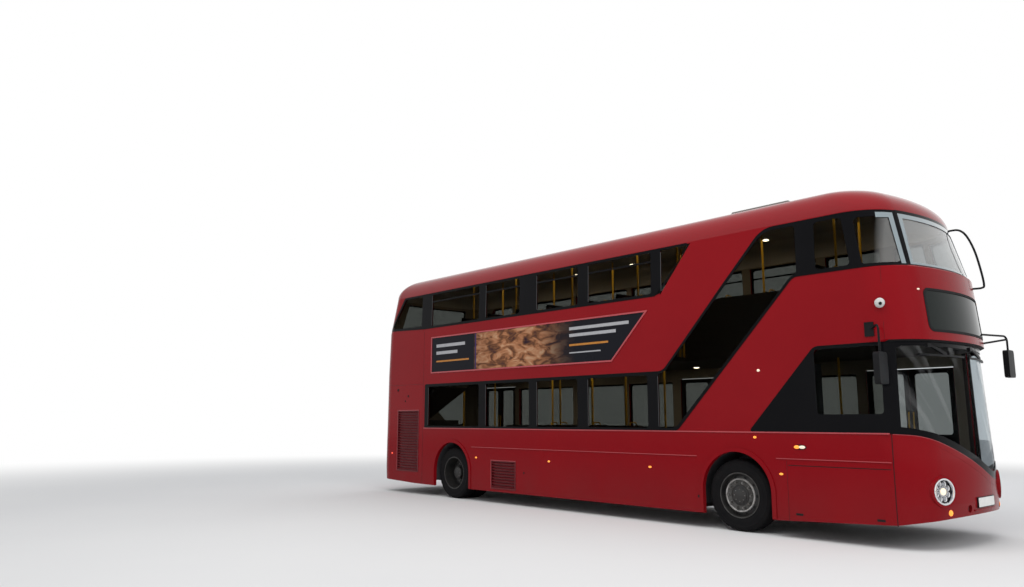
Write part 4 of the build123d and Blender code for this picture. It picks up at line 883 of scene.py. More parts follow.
# Across, up, turn outwards and reach of the two lamps, and the gap round the larger
HEADLAMP, INDICATOR, LAMP_GAP = (0.885, 0.650, 23, 5.462), (0.791, 0.412, 20, 5.486), 0.205
round_lamp = []
for step in range(9):
    angle = math.radians(160 - 20 * step)
    round_lamp.append((HEADLAMP[0] + LAMP_GAP * math.cos(angle), HEADLAMP[1] + LAMP_GAP * math.sin(angle)))
screen_outline = [*SWEEP, *round_lamp, (1.110, 0.605), (1.232, 0.600), (1.232, 2.350), (-1.232, 2.350)]
hole_low = smooth_line([(-1.195, 1.368), (-1.074, 1.338), (-0.796, 1.262), (-0.426, 1.132), (-0.106, 1.012),
                        (0.150, 0.912), (0.378, 0.842), (0.560, 0.832), (0.700, 0.885), (0.885, 0.935),
                        (1.070, 0.875), (1.195, 0.800)])
screen_hole = [*hole_low, (1.172, 2.270), (1.140, 2.300), (-1.140, 2.300), (-1.172, 2.270)]
skin_sheet("windscreen_border", "front", screen_outline, "border", [screen_hole], lift=0.0018, fine=0.03)
# A red fillet carries the nose up to the black edge, with a pale red line along it: a painted highlight
skin_sheet("nose_fillet", "front", OPENING + [(y, z + 0.012) for y, z in SWEEP][::-1], "paint", lift=0.0003,
           thick=0.0012, fine=0.03)
skin_sheet("nose_edge_line", "front", [(y, z - 0.007) for y, z in SWEEP] + SWEEP[::-1], "paint_edge", lift=0.0018,
           thick=0.0012, fine=0.03)

rear_outline = rounded([(-0.925, 3.290), (0.925, 3.290), (0.830, 3.975), (-0.830, 3.975)], 0.04)
rear_hole = clear_pane([(-0.880, 3.330), (0.880, 3.330), (0.790, 3.930), (-0.790, 3.930)], distance=0.02)
skin_sheet("upper_rear_border", "tail", rear_outline, "border", [rear_hole])
RIBBON = [(0.980, 1.330), (0.980, 2.160), (-0.120, 3.240), (-0.880, 3.240), (-0.880, 2.700), (0.560, 1.330)]
skin_sheet("ribbon_border", "tail", rounded(inset(RIBBON, -0.03), [0.07, 0.17, 0.17, 0.07, 0.1, 0.1]), "border",
           [clear_pane(RIBBON, [0.05, 0.15, 0.15, 0.05, 0.09, 0.09])])
print("borders drawn")

# %% [markdown]
# ## Seams, slots and the side picture
#
# The mouldings of the skin meet in narrow dark seams, and a flap over the front
# wheel's service space has two finger slots. These are drawn as hair-thin sheets. The
# long board on each side carries a poster; here it has plain bands of warm and dark colour.


# %% Lay the seams and the boards
def strip(points, width):
    """Outline of a narrow band along a line of points."""
    left, right = [], []
    for index, point in enumerate(points):
        before, after = Vector(points[max(index - 1, 0)]), Vector(points[min(index + 1, len(points) - 1)])
        side = (after - before).normalized().orthogonal() * (width / 2)
        left.append(tuple(Vector(point) + side))
        right.append(tuple(Vector(point) - side))
    return left + right[::-1]


# Seams: name, face, points, width
SEAMS = [
    ("seam_nose_offside", "offside", [(5.090, 0.262), (5.090, 1.284)], 0.009),
    ("seam_nose_nearside", "nearside", [(5.090, 0.262), (5.090, 1.250)], 0.007),
    ("seam_band_offside", "offside", [(5.090, 2.380), (5.090, 3.250)], 0.003),
    ("seam_rear_offside", "offside", [(-4.040, 0.215), (-4.040, 2.160), (-4.040, 3.240)], 0.005),
    ("seam_rear_nearside", "nearside", [(-4.020, 2.200), (-4.020, 3.240)], 0.005),
    ("seam_rear_level_offside", "offside", [(-5.500, 2.160), (-4.040, 2.160)], 0.004),
    ("seam_rear_level_nearside", "nearside", [(-5.500, 2.230), (-4.040, 2.230)], 0.004),
    ("seam_flap_top", "offside", [(3.800, 0.887), (5.060, 0.887)], 0.010),
    ("seam_flap_rear", "offside", [(3.780, 0.214), (3.780, 0.940)], 0.004),
    ("seam_side_middle_nearside", "nearside", [(1.860, 0.207), (1.860, 1.275)], 0.004),
    ("seam_side_rear_nearside", "nearside", [(-0.900, 0.207), (-0.900, 1.275)], 0.003),
]
for label, face, points, width in SEAMS:
    skin_sheet(label, face, strip(points, width), "seam", lift=0.0002, thick=0.0008)

# Each finger slot is a dark sheet on the skin: painted shade where the slot is recessed
for label, x, z in (("slot_flap_rear", 3.920, 0.299), ("slot_flap_front", 4.917, 0.314)):
    outline = rounded(box_outline(x - 0.047, x + 0.047, z - 0.013, z + 0.013), 0.008)
    skin_sheet(label, "offside", outline, "rubber", lift=0.0002, thick=0.0015)

# Small round locks and caps of the service flaps: x, z, radius
LOCKS = [(-4.930, 2.060, 0.026), (-4.560, 1.930, 0.022), (-4.660, 1.830, 0.016), (2.450, 0.420, 0.018),
         (-1.080, 0.560, 0.016)]
LOCK_SHAPE = [(0.0, 0.0), (0.8, 0.0), (1.0, -0.25), (1.0, -0.9), (0.0, -0.9)]
for index, (x, z, radius) in enumerate(LOCKS):
    turned("flap_lock_" + str(index), [(r * radius, d * 0.003) for r, d in LOCK_SHAPE], 24, (x, -1.2632, z), "rubber")

BOARDS = {"offside": [(-3.790, 2.360), (0.930, 2.340), (1.650, 3.070), (-3.790, 3.080)],
          "nearside": [(-3.790, 2.360), (1.650, 2.340), (1.650, 3.070), (-3.790, 3.080)]}
# Plain bars on the dark blocks: start and end along the bus, foot, height, finish
POSTER_BARS = [
    (-2.415, -2.388, 2.388, 0.664, "violet"), (-3.62, -2.72, 2.86, 0.060, "print_pale"),
    (-3.62, -2.95, 2.72, 0.060, "print_pale"), (-3.62, -2.60, 2.57, 0.030, "print_orange"),
    (0.02, 1.28, 2.90, 0.050, "print_pale"), (0.02, 1.02, 2.79, 0.050, "print_pale"),
    (0.02, 0.86, 2.64, 0.032, "print_orange"), (0.02, 0.70, 2.52, 0.020, "print_pale"),
]
for face, points in BOARDS.items():
    skin_sheet("poster_" + face, face, inset(points, 0.022), "poster", lift=0.0005, thick=0.0025)
    for index, (low, high, foot, tall, key) in enumerate(POSTER_BARS):
        skin_sheet("poster_" + face + "_bar_" + str(index), face, box_outline(low, high, foot, foot + tall), key,
                   lift=0.0028, thick=0.0006)

# Dark red backs behind the grilles, painted shade in their gaps, and a bright line on the top and rear edges of their
# frames, a painted highlight
GRILLES = [("tail", -4.930, -4.170, 0.430, 1.650), ("middle", -1.950, -1.285, 0.250, 0.750)]
for word, low, high, bottom, top in GRILLES:
    skin_sheet("grille_back_" + word, "offside", inset(box_outline(low, high, bottom, top), 0.024), "grille",
               lift=-0.030, thick=0.002)
    for edge, outline in (("top", (low, high, top - 0.010, top)), ("side", (low, low + 0.008, bottom, top - 0.010))):
        skin_sheet("grille_" + edge + "_" + word, "offside", box_outline(*outline), "paint_edge", lift=0.0062,
                   thick=0.0006)
# A grey line at the rear edge of every clear pane of the offside is a painted highlight on the pane's edge
PANE_HIGHLIGHTS = [(x, LOWER_Z) for x in (-3.866, -2.106, -0.761, 0.416, 1.800)]
PANE_HIGHLIGHTS += [(x, UPPER_Z) for x in (-3.796, -2.118, -0.757, 0.448, 1.905)]
for index, (low, (bottom, top)) in enumerate(PANE_HIGHLIGHTS):
    skin_sheet("pane_edge_" + str(index), "offside", box_outline(low, low + 0.009, bottom + 0.05, top - 0.05), "bar",
               lift=0.0052, thick=0.0008)
print("seams:", len(SEAMS))

# %% [markdown]
# ## Tyres and wheels
#
# A tyre is turned from one profile: bead, bulging wall, shoulder and ribs with grooves
# between them. Sinking two of every four slices of the shoulder leaves the lugs. The
# CAD rim stays, and gets a bright ring with ten nuts, and a hub cap over the bearing.

# %% Turn the tyres
TYRE_R, TYRE_OUTER, TYRE_W, SLICES = 0.466, 1.200, 0.275, 128
# Corner, place of the axle, side, number of tyres
WHEELS = [("front_left", 3.04, 1, 1), ("front_right", 3.04, -1, 1), ("rear_left", -3.10, 1, 2),
          ("rear_right", -3.10, -1, 2)]
twins_low, twins_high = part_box("rear_left_tyre")
TWIN_STEP = twins_high.y - twins_low.y - TYRE_W
HALF_TYRE = [
    (0.289, 0.016), (0.296, 0.010), (0.304, 0.011), (0.309, 0.007), (0.325, 0.003), (0.345, 0.0015), (0.347, 0.0),
    (0.352, 0.0), (0.354, 0.0015), (0.380, 0.0008), (0.404, 0.002), (0.407, 0.0008), (0.412, 0.0012), (0.414, 0.004),
    (0.430, 0.008), (0.445, 0.014), (0.455, 0.021), (0.461, 0.029), (0.4645, 0.040), (0.4655, 0.050),
]
for low, high in ((0.068, 0.078), (0.108, 0.120)):
    HALF_TYRE += [(0.466, low), (0.4535, low + 0.001), (0.4535, high - 0.001), (0.466, high)]
# How far each point of the shoulder sinks between the lugs, and the slices of every four that sink
LUG_SINK = {14: 0.006, 15: 0.006, 16: 0.006, 17: 0.006, 18: 0.004, 19: 0.004}
LUG_GAPS = (0, 3)


def tyre_mesh(axle_x, side, outer):
    """Tyre turned about its axle, with lugs along both shoulders."""
    profile = HALF_TYRE + [(radius, TYRE_W - depth) for radius, depth in reversed(HALF_TYRE)]
    shape = bmesh.new()
    rings = []
    for step in range(SLICES):
        angle = 2 * math.pi * step / SLICES
        ring = []
        for index, (radius, depth) in enumerate(profile):
            place = min(index, len(profile) - 1 - index)
            if place in LUG_SINK and step % 4 in LUG_GAPS:
                radius -= LUG_SINK[place]
            ring.append(shape.verts.new((axle_x + radius * math.cos(angle), side * (outer - depth),
                                         TYRE_R + radius * math.sin(angle))))
        rings.append(ring)
    joined_up(shape, rings, len(profile))
    return mesh_of(shape, 32)


for corner, axle_x, side, count in WHEELS:
    for index in range(count):
        label = corner + "_tyre_tread" + ("_inner" if index else "")
        mesh = tyre_mesh(axle_x, side, TYRE_OUTER - index * TWIN_STEP)
        tread = piece_from(label, mesh, "tyre", corner + "_wheel")
        if index == 0:
            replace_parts(tread, corner + "_tyre")
print("tyres turned, twin step", round(TWIN_STEP, 4))


# %% Fit the nuts, rings and hub caps
def hexagon_nut():
    """Wheel nut with its washer, standing on a wheel disc; the axle is along Y."""
    shape = bmesh.new()
    for radius, low, high, sides in ((0.0245, 0.0, 0.005, 16), (0.0185, 0.005, 0.026, 6), (0.012, 0.026, 0.036, 10)):
        made = bmesh.ops.create_cone(shape, cap_ends=True, segments=sides, radius1=radius, radius2=radius * 0.96,
                                     depth=high - low)
        for vert in made["verts"]:
            x, y, z = vert.co
            vert.co = (x, z + (low + high) / 2, y)
    return mesh_of(shape, 35)


def oval(half_x, half_y, half_z, across=20, up=12):
    """Rounded oval body about its own middle."""
    shape = bmesh.new()
    bmesh.ops.create_uvsphere(shape, u_segments=across, v_segments=up, radius=1.0)
    for vert in shape.verts:
        vert.co = (vert.co.x * half_x, vert.co.y * half_y, vert.co.z * half_z)
    return mesh_of(shape, 60)


NUT_RING = [(0.135, 0.0), (0.135, 0.004), (0.140, 0.007), (0.203, 0.007), (0.211, 0.012), (0.217, 0.011),
            (0.219, 0.004), (0.219, -0.004), (0.212, -0.004), (0.205, 0.0)]
RING_EDGE = [(0.196, 0.008), (0.204, 0.015), (0.213, 0.015), (0.221, 0.006), (0.221, 0.002), (0.196, 0.006)]
RIM_LIP = [(0.283, -0.004), (0.284, 0.001), (0.289, 0.004), (0.295, 0.002), (0.296, -0.004), (0.291, -0.008)]
FRONT_CAP = [(0.0, 0.030), (0.045, 0.030), (0.052, 0.026), (0.088, 0.024), (0.100, 0.020), (0.104, 0.012),
             (0.118, 0.009), (0.124, 0.004), (0.124, -0.002), (0.0, -0.002)]
REAR_CAP = [(0.0, 0.142), (0.050, 0.142), (0.060, 0.136), (0.096, 0.134), (0.106, 0.128), (0.109, 0.118),
            (0.112, 0.108), (0.112, 0.100), (0.0, 0.100)]
NUTS, BOLTS, VENTS = 10, 8, 10
# How deep the wheel disc lies behind the tyre's outer wall, how far bolts and vents stand from it, and their circles
FRONT_FIT = {"disc": 0.0345, "bolts": 0.022, "vents": -0.006, "vent_circle": 0.240}
REAR_FIT = {"disc": 0.2225, "bolts": 0.134, "vents": 0.0, "vent_circle": 0.236}
NUT_CIRCLE, BOLT_CIRCLE, NUT_STAND, LIP_DEPTH = 0.1675, 0.078, 0.006, 0.008
for corner, axle_x, side, count in WHEELS:
    body = corner + "_wheel"
    front = count == 1
    fit = FRONT_FIT if front else REAR_FIT
    face_y = TYRE_OUTER - fit["disc"]

    def around(name, item, y, radius, count, key):
        """Ring of copies about the axle, each turned with its place."""
        places = []
        for index in range(count):
            angle = 2 * math.pi * index / count
            places.append((axle_x + radius * math.cos(angle), side * y, TYRE_R - radius * math.sin(angle)))
        repeated(corner + name, item, places, key, body, (0, 2 * math.pi / count, 0))

    def ring_of(name, profile, base, segments, key, closed=True):
        """Ring turned about the axle; base is the distance of its zero from the middle of the bus."""
        turned(corner + name, [(r, side * (base + d)) for r, d in profile], segments, (axle_x, 0, TYRE_R), key, body,
               closed=closed)

    nut = hexagon_nut()
    if side < 0:
        nut.transform(Matrix.Diagonal((1, -1, 1, 1)))
        nut.flip_normals()
    around("_nuts", nut, face_y + NUT_STAND, NUT_CIRCLE, NUTS, "bright_dull")
    ring_of("_nut_ring", NUT_RING, face_y, 72, "rim_edge" if front else "rim")
    if front:
        ring_of("_ring_edge", RING_EDGE, face_y, 72, "ring")
    ring_of("_rim_lip", RIM_LIP, TYRE_OUTER - LIP_DEPTH, 96, "rim_edge")
    ring_of("_hub_cap", FRONT_CAP if front else REAR_CAP, face_y, 48, "rim", False)
    bolt = bmesh.new()
    bmesh.ops.create_cone(bolt, cap_ends=True, segments=6, radius1=0.0075, radius2=0.0075, depth=0.012)
    for vert in bolt.verts:
        vert.co = (vert.co.x, vert.co.z, vert.co.y)
    around("_cap_bolts", mesh_of(bolt, 35), face_y + fit["bolts"], BOLT_CIRCLE, BOLTS, "bright_dull")
    # Vent holes near the rim's edge show as dark ovals: painted shade where the holes are
    around("_vents", oval(0.012, 0.002, 0.021, 14, 8), face_y + fit["vents"], fit["vent_circle"], VENTS, "rubber")
print("wheels fitted")

# %% [markdown]
# ## Lamps
#
# Each headlamp is a ring of eight small lenses round a bright middle one. The lenses
# are domes turned about the lamp's own axis, so they are made lying flat and then
# carried to the nose by one matrix. Marker lamps are small ovals along the sides.


# %% Fit the lamps
def lamp_matrix(y, z, turn, x, side):
    """Takes a lamp made on the XY plane, facing up Z, to its place in the nose."""
    angle = math.radians(turn)
    facing = Vector((math.cos(angle), side * math.sin(angle), 0))
    across = Vector((0, 0, 1)).cross(facing)
    rotation = Matrix((across, facing.cross(across), facing)).transposed().to_4x4()
    return Matrix.Translation((x, side * y, z)) @ rotation


def facing_matrix(place, way):
    """Takes a lens that faces up Z to a place, facing along a direction."""
    return Matrix.Translation(place) @ way.to_track_quat("Z", "Y").to_matrix().to_4x4()


def dome(radius, height, base=0.0, segments=20, matrix=None):
    """Lens: a low dome standing on Z = base."""
    profile = [(radius, base - 0.004), (radius, base)]
    for step in range(1, 6):
        angle = math.radians(90 * step / 6)
        profile.append((radius * math.cos(angle), base + height * math.sin(angle)))
    profile += [(0.0, base + height), (0.0, base - 0.004)]
    mesh = lathe(profile, segments, (0, 0, 0), axis="Z", smooth=50)
    if matrix is not None:
        mesh.transform(matrix)
    return mesh


LED_CUP = [(0.022, -0.030), (0.030, -0.012), (0.033, -0.010), (0.034, -0.014), (0.028, -0.030)]
LAMP_BACK = [(0.0, -0.029), (0.127, -0.029), (0.127, -0.027), (0.0, -0.027)]
BEZEL = [(0.126, 0.020), (0.129, 0.029), (0.137, 0.033), (0.146, 0.030), (0.150, 0.022), (0.150, 0.010), (0.126, 0.010)]
INNER_RING = [(0.050, 0.000), (0.052, 0.009), (0.056, 0.010), (0.059, 0.004), (0.062, -0.024), (0.050, -0.024)]
INDICATOR_RIM = [(0.034, 0.008), (0.036, 0.015), (0.041, 0.015), (0.044, 0.006), (0.036, 0.004)]
led_angles = [2 * math.pi * index / 8 + math.pi / 8 for index in range(8)]
led_ring = [(0.088 * math.cos(angle), 0.088 * math.sin(angle)) for angle in led_angles]
for word, side in SIDES.items():
    here, there = lamp_matrix(*HEADLAMP, side), lamp_matrix(*INDICATOR, side)

    def lamp_part(name, profile, segments, key, matrix):
        """Part of a lamp, turned about the lamp's own axis."""
        turned(name + "_" + word, profile, segments, (0, 0, 0), key, matrix=matrix, axis="Z")

    repeated("headlamp_lenses_" + word, dome(0.021, 0.010), [(x, y, -0.020) for x, y in led_ring], "led_lens",
             after=here)
    repeated("headlamp_cups_" + word, lathe(LED_CUP, 24, (0, 0, 0), axis="Z"), [(x, y, 0.0) for x, y in led_ring],
             "chrome", after=here)
    lamp_part("headlamp_back", LAMP_BACK, 48, "lamp_dark", here)
    piece_from("headlamp_beam_" + word, dome(0.038, 0.012, 0.008, 32, here), "beam")
    lamp_part("headlamp_bezel", BEZEL, 64, "chrome", here)
    lamp_part("headlamp_inner_ring", INNER_RING, 40, "chrome", here)
    piece_from("indicator_lens_" + word, dome(0.034, 0.011, 0.011, 32, there), "amber")
    lamp_part("indicator_rim", INDICATOR_RIM, 40, "paint", there)

MARKERS = {"offside": [-2.360, -0.474, 1.620, 3.700], "nearside": [-2.360, -0.474, 2.100]}
MARKER_Z = 0.775
for word, places in MARKERS.items():
    places = [(x, SIDES[word] * FLANK_Y, MARKER_Z) for x in places]
    repeated("marker_lamps_" + word, oval(0.030, 0.013, 0.016), places, "amber")
    repeated("marker_bases_" + word, oval(0.042, 0.006, 0.026), places, "paint")
repeated("tail_side_markers", oval(0.028, 0.013, 0.016), [(-5.100, -1.260, MARKER_Z), (-5.180, 1.262, MARKER_Z)],
         "tail_lit")


def placed_oval(name, size, place, key):
    """One oval at its place."""
    piece_from(name, oval(*size), key).data.transform(Matrix.Translation(place))


for word, side in SIDES.items():
    y = side * FLANK_Y
    placed_oval("side_indicator_base_" + word, (0.085, 0.010, 0.032), (3.972, y, 1.114), "plastic")
    placed_oval("side_indicator_" + word, (0.042, 0.026, 0.022), (3.932, y, 1.114), "amber")
    placed_oval("side_indicator_clear_" + word, (0.046, 0.024, 0.021), (4.000, y, 1.114), "lit_white")
    placed_oval("arch_lamp_" + word, (0.024, 0.012, 0.016), (3.347, y, 1.226), "amber")
repeated("band_lamps", oval(0.016, 0.022, 0.011), [skin_point("front", side * 0.934, 2.968) for side in (-1, 1)],
         "lit_white")
repeated("flank_lamps", oval(0.022, 0.012, 0.018), [(3.443, -FLANK_Y, 2.089), (3.443, FLANK_Y, 2.240)], "lit_white")

# Round camera housing on the band over the cab
turned("camera_housing", [(0.0, 0.004), (0.058, 0.004), (0.060, -0.006), (0.054, -0.022), (0.036, -0.036),
                          (0.0, -0.040)], 32, (5.074, -1.258, 2.806), "white", closed=False, smooth=50)
placed_oval("camera_eye", (0.020, 0.016, 0.020), (5.094, -1.292, 2.794), "display")

# Tail lamps: three round lenses in each tall CAD lamp
for word, side in SIDES.items():
    for index, (z, key) in enumerate(((1.040, "amber_off"), (0.880, "tail_lit"), (0.720, "tail_red"))):
        matrix = facing_matrix(skin_point("tail", side, z), skin_normal("tail", side, z))
        piece_from("tail_lens_" + word + "_" + str(index), dome(0.056, 0.014, 0.011, 28, matrix), key)
print("lamps fitted")

# %% [markdown]
# ## Plates, mirrors, doors and small trim
#
# These are small sheets with rounded corners: blank plates, mirror glass, and two
# panes with soft seals in each door leaf, which ride on the leaf and turn with it.


# %% Fit plates, mirrors and door panes
def pane(name, outline, axis, low, high, key, body="bus_body", holes=()):
    """Flat sheet square to the X or Y axis, from low to high along it."""
    def place_of(a, b, is_upper):
        depth = high if is_upper else low
        return (depth, a, b) if axis == "X" else (a, depth, b)

    return piece_from(name, thickened(flat_sheet(outline, holes), place_of), key, body)


# Plates: word, middle height, near and far face, outer face of the rim, finish
PLATES = [("front", 0.5, 5.6135, 5.6165, 5.6172, "plate_front"),
          ("rear", 1.25, -5.6165, -5.6135, -5.6172, "plate_rear")]


def plate_outline(half_y, half_z, middle, radius):
    return rounded(box_outline(-half_y, half_y, middle - half_z, middle + half_z), radius)


for word, middle, low, high, outer, key in PLATES:
    pane(word + "_plate", plate_outline(0.260, 0.0555, middle, 0.012), "X", low, high, key)
for word, middle, low, high, outer, key in PLATES:
    near, far = (low, outer) if word == "front" else (outer, high)
    pane(word + "_plate_rim", plate_outline(0.264, 0.0595, middle, 0.014), "X", near, far, "plastic",
         holes=[plate_outline(0.257, 0.0525, middle, 0.010)])

# Each mirror has a small wide-angle glass below the main one
MIRROR_SPLIT = 0.34
for label, x, y_low, y_high, z_low, z_high in (
        ("offside_mirror_glass", 5.078, -1.545, -1.350, 1.865, 2.200),
        ("nearside_mirror_glass", 5.533, 1.350, 1.545, 2.025, 2.360)):
    split = z_low + (z_high - z_low) * MIRROR_SPLIT
    for word, bottom, top in (("", split + 0.006, z_high), ("_low", z_low, split - 0.006)):
        pane(label + word, rounded(box_outline(y_low, y_high, bottom, top), 0.03), "X", x - 0.001, x + 0.003, "mirror")

DOORWAYS = [("front_door", 3.740, 4.960), ("middle_door", 0.400, 1.680), ("rear_door", -5.060, -4.030)]
LEAF_Y, LEAF_Z, RAIL_Z, LEAF_FRAME = (1.218, 1.254), (0.368, 2.168), (1.180, 1.240), 0.055
# How far the seals lap the glass, and the two faces of the glass and of each seal
SEAL_LAP, GLASS_Y = 0.012, (1.233, 1.239)
SEALS = (("outside", 1.2535, 1.2565), ("inside", 1.2155, 1.2185))
for doorway, rear_x, front_x in DOORWAYS:
    middle = (rear_x + front_x) / 2
    for leaf, low_x, high_x in (("rear_leaf", rear_x + 0.010, middle - 0.005),
                                ("front_leaf", middle + 0.005, front_x - 0.010)):
        body = doorway + "_" + leaf
        for word, z_low, z_high in (("low", LEAF_Z[0] + LEAF_FRAME, RAIL_Z[0]),
                                    ("high", RAIL_Z[1], LEAF_Z[1] - LEAF_FRAME)):
            opening = box_outline(low_x + LEAF_FRAME, high_x - LEAF_FRAME, z_low, z_high)
            pane(body + "_pane_" + word, opening, "Y", *GLASS_Y, "side_glass", body)
            for layer, y_low, y_high in SEALS:
                pane(body + "_seal_" + word + "_" + layer, rounded(inset(opening, -SEAL_LAP), 0.05), "Y", y_low, y_high,
                     "rubber", body, [rounded(inset(opening, SEAL_LAP), 0.04)])
        # Soft edge that meets the other leaf, and a grab rail inside
        edge, inward = (high_x, -0.028) if leaf == "rear_leaf" else (low_x, 0.028)
        soft = block((edge - 0.004, LEAF_Y[0] + 0.004, LEAF_Z[0] + 0.002),
                     (edge + 0.004, LEAF_Y[1] - 0.004, LEAF_Z[1] - 0.002), 0.003)
        piece_from(body + "_edge", mesh_of(soft, 35), "rubber", body)
        grab = [(edge + inward, y, z) for y, z in ((1.214, 0.86), (1.196, 0.89), (1.196, 1.53), (1.214, 1.56))]
        piece_from(body + "_grab", rod(grab, 0.011, True), "rail", body)
print("doors glazed")

# The branch guard bends in one smooth line, which the CAD bar follows in straight runs
GUARD = [(5.000, 0.980, 4.005), (5.130, 1.020, 4.030), (5.235, 1.045, 4.022), (5.320, 1.050, 3.930),
         (5.400, 1.050, 3.720), (5.455, 1.050, 3.450), (5.480, 1.050, 3.235), (5.452, 1.043, 3.196),
         (5.380, 1.020, 3.190), (5.280, 0.985, 3.190)]
guard = piece_from("guard_bar", rod(smooth_line(GUARD), 0.014), "plastic")
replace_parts(guard, "branch_guard")

# %% [markdown]
# ## Destination panel
#
# The panel over the windscreen is a matrix of small lamps behind dark glass, switched
# off here. A frame of rubber holds its edge, and a black strip under the band is painted
# shade under its overhang.

# %% Frame the destination panel
skin_sheet("destination_frame", "front", rounded(box_outline(-0.872, 0.872, 2.468, 2.992), 0.085), "rubber",
           [rounded(box_outline(-0.842, 0.842, 2.498, 2.962), 0.065)], lift=0.0008, thick=0.004)
# A black strip on the sloping underside of the band: painted shade under its overhang
skin_sheet("visor_line", "front", box_outline(-1.225, 1.225, 2.3475, 2.3715), "rubber", lift=0.0004, thick=0.001,
           fine=0.03)
skin_sheet("plate_ledge", "front", rounded(box_outline(-0.330, 0.330, 0.404, 0.424), 0.008), "paint", lift=-0.002,
           thick=0.012)
print("destination panel framed")

# %% [markdown]
# ## Seats
#
# A bus seat is a moulded shell with two thin pads. Each pad is foam under a woven
# cover, so it is crowned, and its sides pull in between the corners. One pad of each
# kind is puffed up by cloth simulation, thinned, and copied to every place. The copies
# stand for the plain CAD seats, which stay for collision.


# %% Puff up the pads
def slab(half_y, outline, bevel, segments=2):
    """Closed slab: an outline in side view, given its width, with all its edges rounded."""
    shape = bmesh.new()
    near, far = ([shape.verts.new((x, y, z)) for x, z in outline] for y in (-half_y, half_y))
    shape.faces.new(near)
    shape.faces.new(far[::-1])
    for index in range(len(outline)):
        after = (index + 1) % len(outline)
        shape.faces.new((near[index], far[index], far[after], near[after]))
    bmesh.ops.recalc_face_normals(shape, faces=shape.faces)
    bmesh.ops.bevel(shape, geom=shape.edges[:], offset=bevel, segments=segments, affect="EDGES")
    return shape


VOXEL, PUFF_CAP, PAD_TRIANGLES, CHANNEL_WIDTH, FRAMES = 0.006, 0.010, 1500, 0.009, 20


def puffed(shape, channels, height_axis):
    """Pad swollen by cloth under pressure, with sewn channels pressed in, and then thinned."""
    pad = linked("pad", mesh_of(shape))
    remesh = pad.modifiers.new("remesh", "REMESH")
    remesh.mode, remesh.voxel_size = "VOXEL", VOXEL
    pad.data = plain_mesh(pad)
    pad.modifiers.clear()
    start = [vert.co.copy() for vert in pad.data.vertices]
    cloth = pad.modifiers.new("cloth", "CLOTH")
    cloth.settings.use_pressure = True
    cloth.settings.uniform_pressure_force = 4
    cloth.settings.effector_weights.gravity = 0
    for step in range(1, FRAMES + 1):
        scene.frame_set(step)
    pad.data = plain_mesh(pad)
    pad.modifiers.clear()
    scene.frame_set(1)
    for vert, home in zip(pad.data.vertices, start):
        move = vert.co - home
        if move.length > PUFF_CAP:
            vert.co = home + move.normalized() * PUFF_CAP
    # Each channel is a line at one place along an axis: axis, place, depth
    for vert in pad.data.vertices:
        if vert.normal[height_axis] > 0.4:
            for axis, place, depth in channels:
                sink = depth * math.exp(-(((vert.co[axis] - place) / CHANNEL_WIDTH) ** 2))
                vert.co[height_axis] -= sink
    thin = pad.modifiers.new("thin", "DECIMATE")
    thin.ratio = min(PAD_TRIANGLES / (2 * len(pad.data.polygons)), 1)
    mesh = plain_mesh(pad)
    bpy.data.objects.remove(pad)
    weave = mesh.uv_layers.new(name="UVMap")
    for loop in mesh.loops:
        place = mesh.vertices[loop.vertex_index].co
        weave.data[loop.index].uv = (place.y, place.x if height_axis == 2 else place.z)
    return mesh


PAD_HALF = 0.200
CUSHION = [(-0.372, 0.388), (0.018, 0.400), (0.026, 0.452), (-0.366, 0.460)]
BACKREST = [(-0.414, 0.476), (-0.472, 0.966), (-0.428, 0.972), (-0.372, 0.482)]
cushion = puffed(slab(PAD_HALF, CUSHION, 0.016, 3), [(0, -0.045, 0.005), (1, -0.085, 0.005), (1, 0.085, 0.005)], 2)
backrest = puffed(slab(PAD_HALF, BACKREST, 0.014, 3),
                  [(2, 0.620, 0.005), (2, 0.860, 0.005), (1, -0.085, 0.004), (1, 0.085, 0.004)], 0)
print("pad triangles:", len(cushion.polygons), len(backrest.polygons))

# %% Mould the shells and place every seat
SHELL = [(0.030, 0.376), (-0.392, 0.352), (-0.424, 0.425), (-0.497, 0.945), (-0.474, 1.003), (-0.428, 0.999),
         (-0.430, 0.984), (-0.467, 0.987), (-0.482, 0.940), (-0.410, 0.430), (-0.382, 0.369), (0.028, 0.392)]
# Node, deck height, side, front of the first row, number of rows
SEAT_ROWS = [("lower_seats", 0.360, 1, -0.900, 2), ("lower_seats", 0.360, -1, 1.180, 4),
             ("upper_seats", 2.400, 1, 4.700, 11), ("upper_seats", 2.400, -1, 1.450, 6),
             ("upper_seats", 2.400, -1, 4.700, 1)]
SEAT_PITCH, PAIR_MIDDLE, SEAT_OFFSET = 0.780, 0.750, 0.220


def joined(meshes, smooth=40):
    """One mesh of several, which are then removed."""
    shape = bmesh.new()
    for mesh in meshes:
        shape.from_mesh(mesh)
        bpy.data.meshes.remove(mesh)
    return mesh_of(shape, smooth)


def piping_cord(length, low, high):
    """Cord round a pad: its outline, laid on the plane from one side-view point to another."""
    points = []
    for y, v in rounded(box_outline(-PAD_HALF, PAD_HALF, 0.0, length), 0.035, 3):
        share = v / length
        points.append((low[0] + (high[0] - low[0]) * share, y, low[1] + (high[1] - low[1]) * share))
    shape = curve_shape([points], True, dimensions="3D", bevel_depth=0.0042, bevel_resolution=1)
    mesh = bpy.data.meshes.new("cord")
    shape.to_mesh(mesh)
    shape.free()
    return mesh


def pair_frame():
    """Leg, foot plate and cross beam under a pair of seats."""
    shape = block((-0.210, -0.040, 0.0), (-0.150, 0.040, 0.350), 0.006)
    block((-0.270, -0.075, 0.0), (-0.090, 0.075, 0.012), 0.004, shape)
    block((-0.212, -0.400, 0.330), (-0.148, 0.400, 0.362), 0.005, shape)
    return mesh_of(shape, 35)


